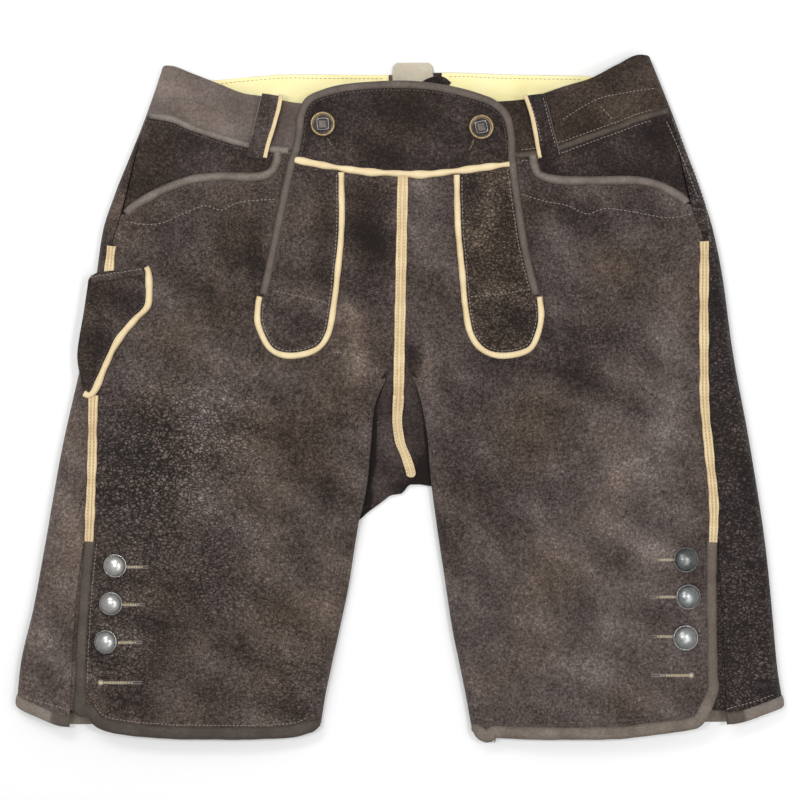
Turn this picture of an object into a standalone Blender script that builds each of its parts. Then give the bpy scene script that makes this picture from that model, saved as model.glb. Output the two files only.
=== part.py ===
"""Short leather trousers (lederhosen) with a buttoned drop front, laid flat on their back.

Plan view: +X to the right, +Y towards the waist, +Z up, and the back panels lie on z = 0.
"left" and "right" are as seen from above with the waist up. Tables are in millimetres.
"""

import math

import bmesh
import bpy
import numpy as np

for thing in list(bpy.data.objects):
    bpy.data.objects.remove(thing)

MM = 0.001

# Leather and the small gaps between pieces, in millimetres.
LEATHER = 1.8
GAP = 0.3
CURVED_GAP = 1.0
FOLD_RADIUS = 7.0
QUARTER_RUN = FOLD_RADIUS * math.pi / 2

# Heights and places, in millimetres.
BACK_CENTRE = 9.0
BAND_WIDTH = 42.0
HEM_WIDTH = 10.5
EDGE_WIDTH = 6.3
WELT_WIDTH = 5.2
PIPING_WIDTH = 5.2
STRIP_WIDTH = 8.8
SIDE_STRIP_WIDTH = 7.6
FOLD_REACH = 95.0
INSEAM_REACH = 70.0
CROTCH_Y = -82.0
SLIT_TOP_Y = 26.0
VENT_TOP_Y = -118.0
GUSSET_FOOT_Y = -71.0
GUSSET_TOP = 24.2
GUSSET_FOOT = 4.6

SIDES = {"left": -1, "right": 1}

# For each edge piece: its underside's height over the skin, and its thickness.
HEM_LAYER = (-2.0, 2.8)
VENT_LAYER = (-2.0, 3.0)
STAND_LAYER = (-3.8, 1.4)
WELT_LAYER = (-1.4, 2.2)
MOUTH_LAYER = (-1.7, 2.7)
PIPING_LAYER = (GAP, 2.4)
SEAM_STRIP_LAYER = (0.5, 1.2)
FACING_THICKNESS = 1.0
POCKET_THICKNESS = 1.5
BACK_HEM_THICKNESS = 2.6


def columns(names, rows):
    """A table as one array for each named column."""
    return dict(zip(names.split(), np.array(rows, float).T))


# The garment's outline: the side folds, going down from the waist.
FOLD = columns(
    "y left right",
    [
        (300, -189, 197),
        (280, -193.5, 205),
        (235, -207.5, 222),
        (204, -221.5, 234.5),
        (171, -234.5, 248.5),
        (139, -244.5, 258.5),
        (102, -250, 266),
        (40, -262.5, 274.5),
        (-42, -280.5, 289.5),
        (-124, -295, 302),
        (-173, -304, 307),
        (-222, -315, 311.5),
        (-256, -318, 316.5),
        (-290, -320, 319),
    ],
)
# The front's inner edge: the centre seam, the folds beside the crotch, then the inner legs.
FRONT_INNER = columns(
    "y left right",
    [
        (300, -1.2, -1.2),
        (36, -1.2, -1.2),
        (28, -2.5, 0.5),
        (14, -13, 11),
        (-9, -21.5, 17.5),
        (-34, -23.5, 21.5),
        (-60, -26, 24),
        (-82, -29.5, 26.5),
        (-107, -35.5, 30),
        (-157, -43.5, 37.5),
        (-190, -50.5, 42.5),
        (-222, -57.5, 49),
        (-255, -64, 55.5),
        (-290, -68, 61),
    ],
)
# The seam down the middle of the crotch.
CROTCH = columns("y x", [(40, -1.2), (0, -2), (-17, -3), (-34, -1), (-50, 5), (-64, 8.6), (-84, 9)])
# The side seams, which start on the fold and come over the top.
SIDE_SEAM = columns(
    "y left right",
    [
        (300, -189, 197),
        (240, -205.8, 220.2),
        (212, -216.5, 227.5),
        (177, -224.5, 235.5),
        (155, -230, 241),
        (128, -238, 250),
        (73, -243, 249.5),
        (3, -253, 249.5),
        (-43, -254, 253.5),
        (-91, -255.5, 257.5),
        (-118, -256.5, 256.5),
    ],
)
# The slit at the foot of the side seam: the middle of the front's binding, and the back's edge.
VENT = columns(
    "y front_left front_right back_left back_right",
    [
        (-118, -256.0, 255.8, -261.0, 261.0),
        (-165, -260.5, 255.5, -267.0, 264.0),
        (-230, -263.5, 256.3, -271.0, 267.0),
        (-290, -264.0, 256.5, -273.0, 269.0),
    ],
)
# How far the upper layer swells above the side folds, going down.
SWELL = columns("y height", [(300, 6), (240, 8), (120, 10), (20, 10.5), (-80, 9), (-180, 8), (-290, 7)])
# The waistband's top and lower edges, from the side fold to the centre front.
BAND_LEFT = columns(
    "x top low",
    [
        (-205, 274.5, 232.5),
        (-190, 272.5, 231),
        (-172, 267.5, 222.5),
        (-151, 260, 214),
        (-128, 250.5, 204.5),
        (-112, 248.5, 202.5),
        (-82, 243, 202),
        (0, 241, 201.5),
    ],
)
BAND_RIGHT = columns(
    "x top low",
    [
        (0, 241, 201.5),
        (96, 245.5, 200),
        (114, 250, 202),
        (133, 256.5, 207),
        (155, 263.5, 215),
        (178, 275, 223.5),
        (197, 281.5, 231),
        (221, 281.5, 238),
    ],
)
# The back waistband's top edge.
BAND_BACK = columns(
    "x top",
    [(-205, 274.5), (-173, 265), (-158, 262), (-93, 266.5), (-16, 266), (35, 268), (102, 266), (161, 265.5),
     (186, 272), (210, 281.5)],
)
# The pocket mouths, as the middle of their bound edges, from the side seam to the waistband.
POCKET_LEFT = columns(
    "x y",
    [(-226.5, 152.5), (-222, 157), (-211, 164), (-195, 172), (-174, 179.5), (-149, 182.5), (-130, 182),
     (-113, 183), (-105, 188), (-101.5, 196)],
)
POCKET_RIGHT = columns(
    "x y",
    [(235.5, 161), (232, 165.5), (226, 169), (213, 175.5), (196, 179.5), (173, 179.5), (146, 179),
     (127, 180), (113, 184.5), (109, 193.5)],
)
# The front hem's lower edge and the back hem's lower edge, across each leg.
HEM_FRONT_LEFT = columns(
    "x y",
    [(-268, -244), (-260, -259), (-251, -269.5), (-230, -275.5), (-181, -279.5), (-98, -279.5), (-76, -275.5),
     (-66, -268)],
)
HEM_FRONT_RIGHT = columns(
    "x y",
    [(57, -266), (66, -275.5), (77, -279.5), (172, -279.5), (203, -276.5), (240, -271.5), (249.5, -266),
     (260.5, -243)],
)
HEM_BACK = columns(
    "x y",
    [(-330, -249), (-304, -261), (-275, -270), (-60, -269), (60, -269), (270, -268), (317, -255),
     (330, -251)],
)
# The flap: its outer edge down each side, the arch across its top, and the piping at its foot.
FLAP_SIDE = columns(
    "y left right",
    [
        (234, -84.5, 89),
        (217, -86.5, 93.5),
        (203, -89.5, 94),
        (194, -92.5, 94.5),
        (167, -98.5, 98),
        (130, -106, 103.5),
        (104, -111.5, 109),
        (86, -115.5, 114),
    ],
)
FLAP_TOP = columns(
    "x y",
    [(-84.5, 234), (-77, 247.5), (-60, 255), (-39, 259), (-5.5, 261), (19, 260), (44, 256), (65.5, 250),
     (78, 244.5), (89, 234)],
)
FLAP_FOOT = columns(
    "x y",
    [(-91, 197), (-55, 190.2), (-24, 186), (-1.5, 185), (15.5, 184.2), (45, 187), (92, 193)],
)
# Each tongue's piping, from the flap's foot down the inner side, round and up to the binding.
TONGUE_LEFT = columns(
    "x y",
    [(-49, 186), (-48.8, 141), (-52, 104), (-55.4, 75), (-60, 53), (-70, 40.5), (-90, 35.5), (-106.5, 41),
     (-116.5, 60), (-117, 75), (-115.5, 84)],
)
TONGUE_RIGHT = columns(
    "x y",
    [(46, 184), (47, 141), (50.4, 104), (53, 75), (57.5, 53), (67.7, 40), (84.5, 35.5), (104.5, 40.5),
     (112, 53), (114.8, 68), (113.5, 84)],
)
# The sheath pocket on the left leg: its fold side, and the piping down its open side to the tip.
SHEATH_OUTER = columns("x y", [(-254.5, 99), (-256, 92), (-260, 72), (-264, 42), (-264, 30), (-261.5, 7)])
SHEATH_PIPING = columns(
    "x y",
    [(-206.8, 105), (-206, 78.5), (-209, 73.5), (-219, 64.5), (-229.5, 54), (-237.5, 39.5), (-246.5, 22.5),
     (-254, 8), (-257.5, 3.5)],
)
# Belt loops: the middle of each at its top and foot.
LOOP = columns("left right y", [(-105, 108.5, 249.5), (-117.5, 122, 197.5)])
LOOP_WIDTH = 14.0
LOOP_RISE = 4.8
# The tongue behind the split at the back, and the middle of its dark tie.
TAB_LEFT, TAB_RIGHT, TAB_FOOT, TAB_TOP, TAB_HEIGHT = -7.0, 27.0, 200.0, 279.0, 4.0
TIE = ((8, 240), (13, 254), (22, 262.5), (33, 264.5), (40, 260))
TIE_WIDTH = 6.0
TIE_THICKNESS = 1.7
# The middle of the turned band at the sheath's mouth.
SHEATH_BAND = ((-253, 95.8), (-212, 102))

FLAP_BUTTON_AT = {"left": (-64.0, 225.0), "right": (66.0, 222.5)}
LEG_BUTTON_AT = {
    "left": ((-234.5, -137.0), (-238.0, -168.0), (-242.0, -199.5)),
    "right": ((233.5, -132.0), (235.5, -162.5), (233.5, -196.0)),
}
LEG_BUTTON_RADIUS = {"left": 9.5, "right": 10.3}

COLOURS = {  # linear RGB, roughness, metallic
    "suede": ((0.075, 0.056, 0.048), 0.9, 0.0),
    "binding": ((0.14, 0.115, 0.1), 0.8, 0.0),
    "natural": ((0.72, 0.58, 0.36), 0.75, 0.0),
    "tab": ((0.54, 0.48, 0.36), 0.85, 0.0),
    "pewter": ((0.2, 0.21, 0.22), 0.35, 0.8),
    "bronze": ((0.16, 0.11, 0.07), 0.45, 0.8),
}


def smooth(table_x, table_y, x):
    """Monotone cubic through a table's points; straight on past its ends."""
    order = np.argsort(table_x)
    xs, ys = table_x[order], table_y[order]
    step = np.diff(xs)
    slope = np.diff(ys) / step
    tangent = np.empty_like(ys)
    tangent[0], tangent[-1] = slope[0], slope[-1]
    same_way = slope[:-1] * slope[1:] > 0
    mean = 2 * slope[:-1] * slope[1:] / np.where(same_way, slope[:-1] + slope[1:], 1)
    tangent[1:-1] = np.where(same_way, mean, 0)
    x = np.asarray(x, float)
    inside = np.clip(x, xs[0], xs[-1])
    k = np.clip(np.searchsorted(xs, inside) - 1, 0, len(step) - 1)
    t = (inside - xs[k]) / step[k]
    value = (
        ys[k] * (1 + 2 * t) * (1 - t) ** 2
        + ys[k + 1] * t * t * (3 - 2 * t)
        + step[k] * (tangent[k] * t * (1 - t) ** 2 - tangent[k + 1] * t * t * (1 - t))
    )
    beyond = x - inside
    return value + beyond * np.where(beyond < 0, tangent[0], tangent[-1])


def ease(t):
    t = np.clip(t, 0, 1)
    return t * t * (3 - 2 * t)


def fold_x(side, y):
    return smooth(FOLD["y"], FOLD[side], y)


def width_at(side, y, upper=True):
    """From the side fold to the inner edge, on the upper or the lower layer."""
    front = smooth(FRONT_INNER["y"], FRONT_INNER[side], y)
    legs = ease((CROTCH_Y + 2 - y) / 12)
    inner = front if upper else BACK_CENTRE + (front - BACK_CENTRE) * legs
    return np.abs(inner - fold_x(side, y))


def inner_turn(y, upper=True):
    """The angle that the inner edge rolls over: none above the crotch, a quarter turn on the legs."""
    opened = ease((SLIT_TOP_Y - y) / (SLIT_TOP_Y - CROTCH_Y)) if upper else ease((CROTCH_Y + 2 - y) / 12)
    return opened * math.pi / 2


def crease(x, y, start, end, depth, reach):
    """A soft trough along a line, fading out at both ends."""
    ax, ay = start
    dx, dy = end[0] - ax, end[1] - ay
    along = ((x - ax) * dx + (y - ay) * dy) / (dx * dx + dy * dy)
    away = ((x - ax) * dy - (y - ay) * dx) / math.hypot(dx, dy)
    return -depth * np.exp(-((away / reach) ** 2)) * ease(along * 3) * ease((1 - along) * 3)


# The largest folds: start, end, depth and reach of each.
CREASES = (
    ((-24, 10), (-105, -60), 2.2, 13),
    ((20, 0), (95, -75), 1.8, 14),
    ((-215, 40), (-120, -110), 1.6, 20),
    ((215, 100), (120, -70), 1.5, 22),
    ((-120, -120), (-230, -215), 1.4, 18),
    ((110, -150), (215, -230), 1.3, 18),
)


def upper_height(side, inset, y):
    """The upper skin's height away from its rolled edges."""
    x = fold_x(side, y) - SIDES[side] * inset
    inner = 1 - (inner_turn(y) / (math.pi / 2)) * (1 - ease((width_at(side, y) - inset) / INSEAM_REACH))
    swell = smooth(SWELL["y"], SWELL["height"], y) * ease(0.12 + 0.88 * inset / FOLD_REACH) * inner
    folds = sum(crease(x, y, *row) for row in CREASES)
    return 2 * FOLD_RADIUS + swell + folds * ease(inset / 40)


def skin(side, run, y):
    """The outer skin at a run of leather from the side fold: over the top above 0, below it under 0."""
    run, y = np.broadcast_arrays(np.asarray(run, float), np.asarray(y, float))
    upper = run > 0
    turn = np.where(upper, inner_turn(y), inner_turn(y, False))
    width = np.where(upper, width_at(side, y), width_at(side, y, False))
    flat_end = width - FOLD_RADIUS * np.sin(turn)
    reach = np.abs(run) - QUARTER_RUN
    fold_angle = np.clip(np.abs(run) / FOLD_RADIUS, 0, math.pi / 2)
    roll = np.maximum(reach - (flat_end - FOLD_RADIUS), 0) / FOLD_RADIUS
    level = np.minimum(FOLD_RADIUS + np.maximum(reach, 0), flat_end)
    inset = np.where(reach < 0, FOLD_RADIUS * (1 - np.cos(fold_angle)), level + FOLD_RADIUS * np.sin(roll))
    drop = FOLD_RADIUS * (1 - np.sin(fold_angle)) + FOLD_RADIUS * (1 - np.cos(roll))
    height = np.where(upper, upper_height(side, inset, y) - drop, drop)
    height = np.where(np.abs(run) < QUARTER_RUN, round_fold(side, run, y), height)
    return np.stack([fold_x(side, y) - SIDES[side] * inset, y, height], axis=-1)


def round_fold(side, run, y):
    """The side fold's height: a half circle whose top runs on into the upper skin."""
    angle = np.clip(run / FOLD_RADIUS, -math.pi / 2, math.pi / 2)
    over = np.maximum(angle, 0) / (math.pi / 2)
    extra = upper_height(side, FOLD_RADIUS * (1 - np.cos(angle)), y) - 2 * FOLD_RADIUS
    return FOLD_RADIUS * (1 + np.sin(angle)) + extra * ease(over)


def normal(side, run, y):
    """The outward direction of the skin, from its neighbours."""
    step = 0.4
    across = skin(side, run + step, y) - skin(side, run - step, y)
    along = skin(side, run, y + step) - skin(side, run, y - step)
    found = np.cross(across, along) * -SIDES[side]
    return found / np.linalg.norm(found, axis=-1, keepdims=True)


def run_at(side, x, y):
    """The run of leather over the top to a place in plan."""
    inset = np.maximum(SIDES[side] * (fold_x(side, y) - x), 0.05)
    turn = inner_turn(y)
    flat_end = width_at(side, y) - FOLD_RADIUS * np.sin(turn)
    on_fold = FOLD_RADIUS * np.arccos(np.clip(1 - inset / FOLD_RADIUS, -1, 1))
    roll = np.arcsin(np.clip((inset - flat_end) / FOLD_RADIUS, 0, 1))
    on_top = QUARTER_RUN + np.minimum(inset, flat_end) - FOLD_RADIUS + FOLD_RADIUS * roll
    return np.where(inset < FOLD_RADIUS, on_fold, on_top)


def end_run(side, y, upper=True):
    """The run of leather from the side fold to the inner edge."""
    turn = inner_turn(y, upper)
    return QUARTER_RUN + width_at(side, y, upper) - FOLD_RADIUS * (1 + np.sin(turn)) + FOLD_RADIUS * turn


def on_top(x, y):
    """Points and outward directions of the upper skin at places in plan."""
    x, y = np.broadcast_arrays(np.asarray(x, float), np.asarray(y, float))
    is_left = x < smooth(CROTCH["y"], CROTCH["x"], np.clip(y, -84, 40))
    points = np.empty(x.shape + (3,))
    outward = np.empty(x.shape + (3,))
    for side in SIDES:
        run = run_at(side, x, y)
        mine = is_left if side == "left" else ~is_left
        points[mine] = skin(side, run, y)[mine]
        outward[mine] = normal(side, run, y)[mine]
    return points, outward


MATERIALS = {}


def material(name):
    if name not in MATERIALS:
        colour, roughness, metallic = COLOURS[name]
        made = bpy.data.materials.new(name)
        made.use_nodes = True
        shader = made.node_tree.nodes["Principled BSDF"]
        shader.inputs["Base Color"].default_value = (*colour, 1)
        shader.inputs["Roughness"].default_value = roughness
        shader.inputs["Metallic"].default_value = metallic
        made.diffuse_color = (*colour, 1)
        MATERIALS[name] = made
    return MATERIALS[name]


def body(name, vertices, faces, finish, round_shaded=True):
    """One closed object from points in millimetres."""
    mesh = bpy.data.meshes.new(name)
    mesh.from_pydata([tuple(point * MM) for point in np.asarray(vertices, float)], [], faces)
    work = bmesh.new()
    work.from_mesh(mesh)
    if work.calc_volume(signed=True) < 0:
        bmesh.ops.reverse_faces(work, faces=work.faces)
    work.to_mesh(mesh)
    work.free()
    own = material(finish).copy()
    own.name = name
    mesh.materials.append(own)
    if round_shaded:
        mesh.shade_smooth()
        mesh.set_sharp_from_angle(angle=math.radians(40))
    made = bpy.data.objects.new(name, mesh)
    bpy.context.scene.collection.objects.link(made)
    return made


def slab(name, outer, inner, finish):
    """A sheet of leather between two grids of points."""
    rows, across = outer.shape[:2]
    count = rows * across
    at = np.arange(count).reshape(rows, across)
    faces = []
    for i in range(rows - 1):
        for j in range(across - 1):
            a, b, c, d = at[i, j], at[i, j + 1], at[i + 1, j + 1], at[i + 1, j]
            faces.append((a, b, c, d))
            faces.append((d + count, c + count, b + count, a + count))
    rim = [*at[0, :], *at[1:, -1], *at[-1, -2::-1], *at[-2:0:-1, 0]]
    for a, b in zip(rim, rim[1:] + rim[:1]):
        faces.append((b, a, a + count, b + count))
    faces = [tuple(int(k) for k in face) for face in faces]
    return body(name, np.concatenate([outer.reshape(-1, 3), inner.reshape(-1, 3)]), faces, finish)


def wrapped(name, side, runs, y, finish, lift=0.0, thickness=LEATHER):
    """A piece of the garment's skin, given by runs of leather from the side fold."""
    runs, y, lift = np.broadcast_arrays(runs, y, lift)
    points, outward = skin(side, runs, y), normal(side, runs, y)
    outer = points + outward * lift[..., None]
    return slab(name, outer, outer - outward * thickness, finish)


def laid(name, x, y, finish, lift, thickness):
    """A piece lying on the upper skin, given in plan; lift is its underside's."""
    points, outward = on_top(x, y)
    lift = np.broadcast_to(lift, points.shape[:2])[..., None]
    return slab(name, points + outward * (lift + thickness), points + outward * lift, finish)


def line(table_or_points, count):
    """Evenly spaced points along a smooth line through a short list of points."""
    if isinstance(table_or_points, dict):
        points = np.stack([table_or_points["x"], table_or_points["y"]], axis=-1)
    else:
        points = np.array(table_or_points, float)
    length = np.concatenate([[0], np.cumsum(np.hypot(*np.diff(points, axis=0).T))])
    fine = np.linspace(0, length[-1], count)
    padded = np.concatenate([[2 * points[0] - points[1]], points, [2 * points[-1] - points[-2]]])
    k = np.clip(np.searchsorted(length, fine) - 1, 0, len(points) - 2)
    t = ((fine - length[k]) / (length[k + 1] - length[k]))[:, None]
    p0, p1, p2, p3 = padded[k], padded[k + 1], padded[k + 2], padded[k + 3]
    return 0.5 * (
        2 * p1 + (p2 - p0) * t + (2 * p0 - 5 * p1 + 4 * p2 - p3) * t**2 + (3 * p1 - p0 - 3 * p2 + p3) * t**3
    )


def beside(points, distance):
    """A line at one side of another: to its right when the distance is above 0."""
    tangent = np.gradient(points, axis=0)
    tangent /= np.linalg.norm(tangent, axis=1, keepdims=True)
    return points + np.stack([tangent[:, 1], -tangent[:, 0]], axis=-1) * np.reshape(distance, (-1, 1))


def strip(name, points, width, finish, lift, thickness):
    """A narrow strip along a line in plan; lift is its underside's height over the skin."""
    x, y = between(beside(points, -width / 2), beside(points, width / 2), 2)
    return laid(name, x, y, finish, lift, thickness)


def between(first, last, count):
    """A grid from one line to another, in even steps."""
    t = np.linspace(0, 1, count)[:, None, None]
    grid = first[None] * (1 - t) + last[None] * t
    return grid[..., 0], grid[..., 1]


def patch(top, foot, left, right):
    """A grid within four edges; left and right go from the foot up."""
    u = np.linspace(0, 1, len(top))[None, :, None]
    v = np.linspace(0, 1, len(left))[:, None, None]
    corners = (
        foot[0] * (1 - u) * (1 - v) + foot[-1] * u * (1 - v) + top[0] * (1 - u) * v + top[-1] * u * v
    )
    return (
        foot[None] * (1 - v) + top[None] * v + left[:, None] * (1 - u) + right[:, None] * u - corners
    )


def turned(name, profile, at, finish, lift, segments=12):
    """A turned solid standing on the upper skin; the profile is (radius, height), from axis to axis."""
    points, outward = on_top(*at)
    up = outward
    across = np.cross(up, (0, 1, 0))
    across /= np.linalg.norm(across)
    ahead = np.cross(up, across)
    angles = np.linspace(0, 2 * math.pi, segments, endpoint=False)
    ring = np.cos(angles)[:, None] * across + np.sin(angles)[:, None] * ahead
    base = points + up * lift
    vertices = [base + up * profile[0][1]]
    for radius, height in profile[1:-1]:
        vertices.extend(base + ring * radius + up * height)
    vertices.append(base + up * profile[-1][1])
    last = len(vertices) - 1
    faces = []
    for k in range(segments):
        n = (k + 1) % segments
        faces.append((0, 1 + n, 1 + k))
        for level in range(len(profile) - 3):
            a, b = 1 + level * segments, 1 + (level + 1) * segments
            faces.append((a + k, a + n, b + n, b + k))
        top = 1 + (len(profile) - 3) * segments
        faces.append((top + k, top + n, last))
    return body(name, vertices, faces, finish)


# ---------------------------------------------------------------------------------------------
# Legs

SEAM_ROWS = np.array([-106, -88, -70, -48, -26, -10, 4, 22, 48, 76, 102, 122, 137])
UPPER_SEAM_ROWS = np.array([148, 166, 184, 202, 218])
HEM_STEPS = [0, 2, 4, 8, 13, 19, 25, 31, 36, 40, 42, 44]
MOUTH_STEPS = [0, 1, 6, 12, 18, 23, 27, 30, 32]
FRONT_TOP_X = {"left": (-72, -38, -1.2), "right": (74, 38, -1.2)}


def side_edge(side, y, part):
    """In plan, the front's or the back's edge down the side: the seam, then the vent."""
    sign = SIDES[side]
    seam = smooth(SIDE_SEAM["y"], SIDE_SEAM[side], y)
    vent = smooth(VENT["y"], VENT[part + "_" + side], y)
    if part == "front":
        vent = vent - sign * (STRIP_WIDTH / 2 + GAP)
    return np.where(y > VENT_TOP_Y, seam, vent)


def run_and_y(side, points):
    """The same points as (run from the side fold, y)."""
    x, y = points[..., 0], points[..., 1]
    return np.stack([run_at(side, x, y), y], axis=-1)


def edge_runs(side, y, part):
    """A panel's side edge as (run, y), half a gap back from the seam."""
    half_gap = 0.8 * GAP if part == "front" else -0.8 * GAP
    return np.stack([run_at(side, side_edge(side, y, part), y) + half_gap, y], axis=-1)


def hem_line(side):
    return HEM_FRONT_LEFT if side == "left" else HEM_FRONT_RIGHT


def mouth_line(side, offset, count):
    """The pocket mouth from the side seam, moved down towards the leg by the offset."""
    pocket = POCKET_LEFT if side == "left" else POCKET_RIGHT
    return beside(line(pocket, count), -SIDES[side] * offset)


def band_edge(side, edge, x):
    """The front waistband's top or lower edge; level past the ends of its table."""
    band = BAND_LEFT if side == "left" else BAND_RIGHT
    return smooth(band["x"], band[edge], np.clip(x, band["x"][0], band["x"][-1]))


def back_top(x):
    """The back waistband's top edge."""
    return smooth(BAND_BACK["x"], BAND_BACK["top"], np.clip(x, BAND_BACK["x"][0], BAND_BACK["x"][-1]))


def hem_back_low(x):
    return smooth(HEM_BACK["x"], HEM_BACK["y"], x)


def front_leg(side):
    """From the side seam over the top to the inner edge, and from the hem to the pocket mouth."""
    foot = beside(line(hem_line(side), 45), -(HEM_WIDTH + 3.6 * CURVED_GAP))[HEM_STEPS]
    if side == "right":
        foot = foot[::-1]
    mouth = mouth_line(side, EDGE_WIDTH / 2 + 2.2 * CURVED_GAP, 33)[MOUTH_STEPS]
    band_x = np.array(FRONT_TOP_X[side])
    below_band = band_edge(side, "low", band_x) - EDGE_WIDTH / 2 - GAP
    top = np.concatenate([mouth, np.stack([band_x, below_band], axis=-1)])
    vent_rows = np.linspace(foot[0, 1], VENT_TOP_Y - 0.5, 6)
    rows = np.concatenate([vent_rows, SEAM_ROWS, [top[0, 1] - 3]])
    left = edge_runs(side, rows, "front")
    inner_y = np.interp(rows, [rows[0], rows[-1]], [foot[-1, 1], top[-1, 1]])
    right = np.stack([end_run(side, inner_y) - GAP / 2, inner_y], axis=-1)
    top, foot = run_and_y(side, top), run_and_y(side, foot)
    top[0], foot[0], top[-1], foot[-1] = left[-1], left[0], right[-1], right[0]
    grid = patch(top, foot, left, right)
    wrapped(f"front_leg_{side}", side, grid[..., 0], grid[..., 1], "suede")


def round_columns(seam, inner):
    """Runs of leather from the seam over the side fold to the inner edge below, one for each column."""
    over = np.minimum(QUARTER_RUN, 0.6 * seam)
    stops = [seam, (seam + over) / 2]
    stops += [over * (1 - t) - QUARTER_RUN * t for t in np.linspace(0, 1, 6)]
    stops += [-QUARTER_RUN * (1 - t) + inner * t for t in (0.14, 0.45, 0.8, 0.93, 1)]
    return np.stack(stops, axis=1)


def back_leg(side):
    """From the side seam round the fold and under the leg to its inner edge."""
    sign = SIDES[side]
    hem_y = hem_back_low(sign * 272) + HEM_WIDTH + CURVED_GAP
    top_y = back_top(sign * 212) - BAND_WIDTH - CURVED_GAP
    rows = np.concatenate(
        [np.linspace(hem_y, VENT_TOP_Y - 0.5, 7), SEAM_ROWS, UPPER_SEAM_ROWS, [top_y]]
    )
    seam = edge_runs(side, rows, "back")[:, 0]
    runs = round_columns(seam, -(end_run(side, rows, False) - GAP / 2))
    under_x = fold_x(side, rows)[:, None] + sign * (np.abs(runs) - QUARTER_RUN + FOLD_RADIUS) * -1
    under = runs < -QUARTER_RUN
    hem_shift = hem_back_low(under_x) + HEM_WIDTH + CURVED_GAP - hem_y
    top_shift = back_top(under_x) - BAND_WIDTH - 3 * CURVED_GAP - top_y
    t = (rows[:, None] - rows[0]) / (rows[-1] - rows[0])
    near_hem, near_top = (1 - t) ** 3, t**3
    y = rows[:, None] + np.where(under, hem_shift * near_hem + top_shift * near_top, 0)
    inner = -(end_run(side, y, False) - GAP / 2)
    share = (runs + QUARTER_RUN) / (runs[:, -1:] + QUARTER_RUN)
    runs = np.where(under, -QUARTER_RUN * (1 - share) + inner * share, runs)
    wrapped(f"back_leg_{side}", side, runs, y, "suede")


def gusset_height(y):
    """How high the crotch lies: level with the front at the top of the slits, low at its foot."""
    t = ease((SLIT_TOP_Y + 4 - y) / (SLIT_TOP_Y - CROTCH_Y))
    return GUSSET_TOP * (1 - t) + GUSSET_FOOT * t


def gusset(side):
    """The crotch between a leg's fold and the crotch seam, sinking towards the back layer."""
    y = np.linspace(SLIT_TOP_Y - 6, GUSSET_FOOT_Y, 11)
    outer_x = smooth(FRONT_INNER["y"], FRONT_INNER[side], y) - SIDES[side] * 2 * CURVED_GAP
    seam_x = smooth(CROTCH["y"], CROTCH["x"], y) + SIDES[side] * GAP / 2
    x = np.stack([outer_x, (outer_x + seam_x) / 2, seam_x], axis=1)
    outer = np.stack(np.broadcast_arrays(x, y[:, None], gusset_height(y)[:, None]), axis=-1)
    slab(f"gusset_{side}", outer, outer - np.array([0, 0, LEATHER]), "suede")


def hem(side):
    front = beside(line(hem_line(side), 22), -HEM_WIDTH / 2)
    strip(f"hem_front_{side}", front, HEM_WIDTH, "suede", *HEM_LAYER)
    sign = SIDES[side]
    rows = np.linspace(0, HEM_WIDTH, 3)[:, None]
    start_y = hem_back_low(sign * 272)
    runs = round_columns(
        edge_runs(side, np.array([start_y]), "back")[:, 0],
        -(end_run(side, np.array([start_y]), False) - GAP / 2),
    )
    x = fold_x(side, start_y) - sign * (np.abs(runs) - QUARTER_RUN + FOLD_RADIUS)
    low = np.where(runs < -QUARTER_RUN, hem_back_low(x), start_y)
    wrapped(f"hem_back_{side}", side, runs, low + rows, "suede", thickness=BACK_HEM_THICKNESS)


def vent(side):
    """The bound edge of the slit on the front, and the button stand under it."""
    sign = SIDES[side]
    y = np.linspace(VENT_TOP_Y + 0.5, hem_line(side)["y"][0 if side == "left" else -1] + 6, 9)
    middle = np.stack([smooth(VENT["y"], VENT["front_" + side], y), y], axis=-1)
    strip(f"vent_binding_{side}", middle, STRIP_WIDTH, "suede", *VENT_LAYER)
    y = np.linspace(VENT_TOP_Y - 2, -256, 9)
    outer = smooth(VENT["y"], VENT["back_" + side], y) + sign * 6
    inner = outer - sign * 34
    x, y = between(np.stack([outer, y], -1), np.stack([inner, y], -1), 4)
    laid(f"vent_stand_{side}", x, y, "suede", *STAND_LAYER)


# ---------------------------------------------------------------------------------------------
# Waist


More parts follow.
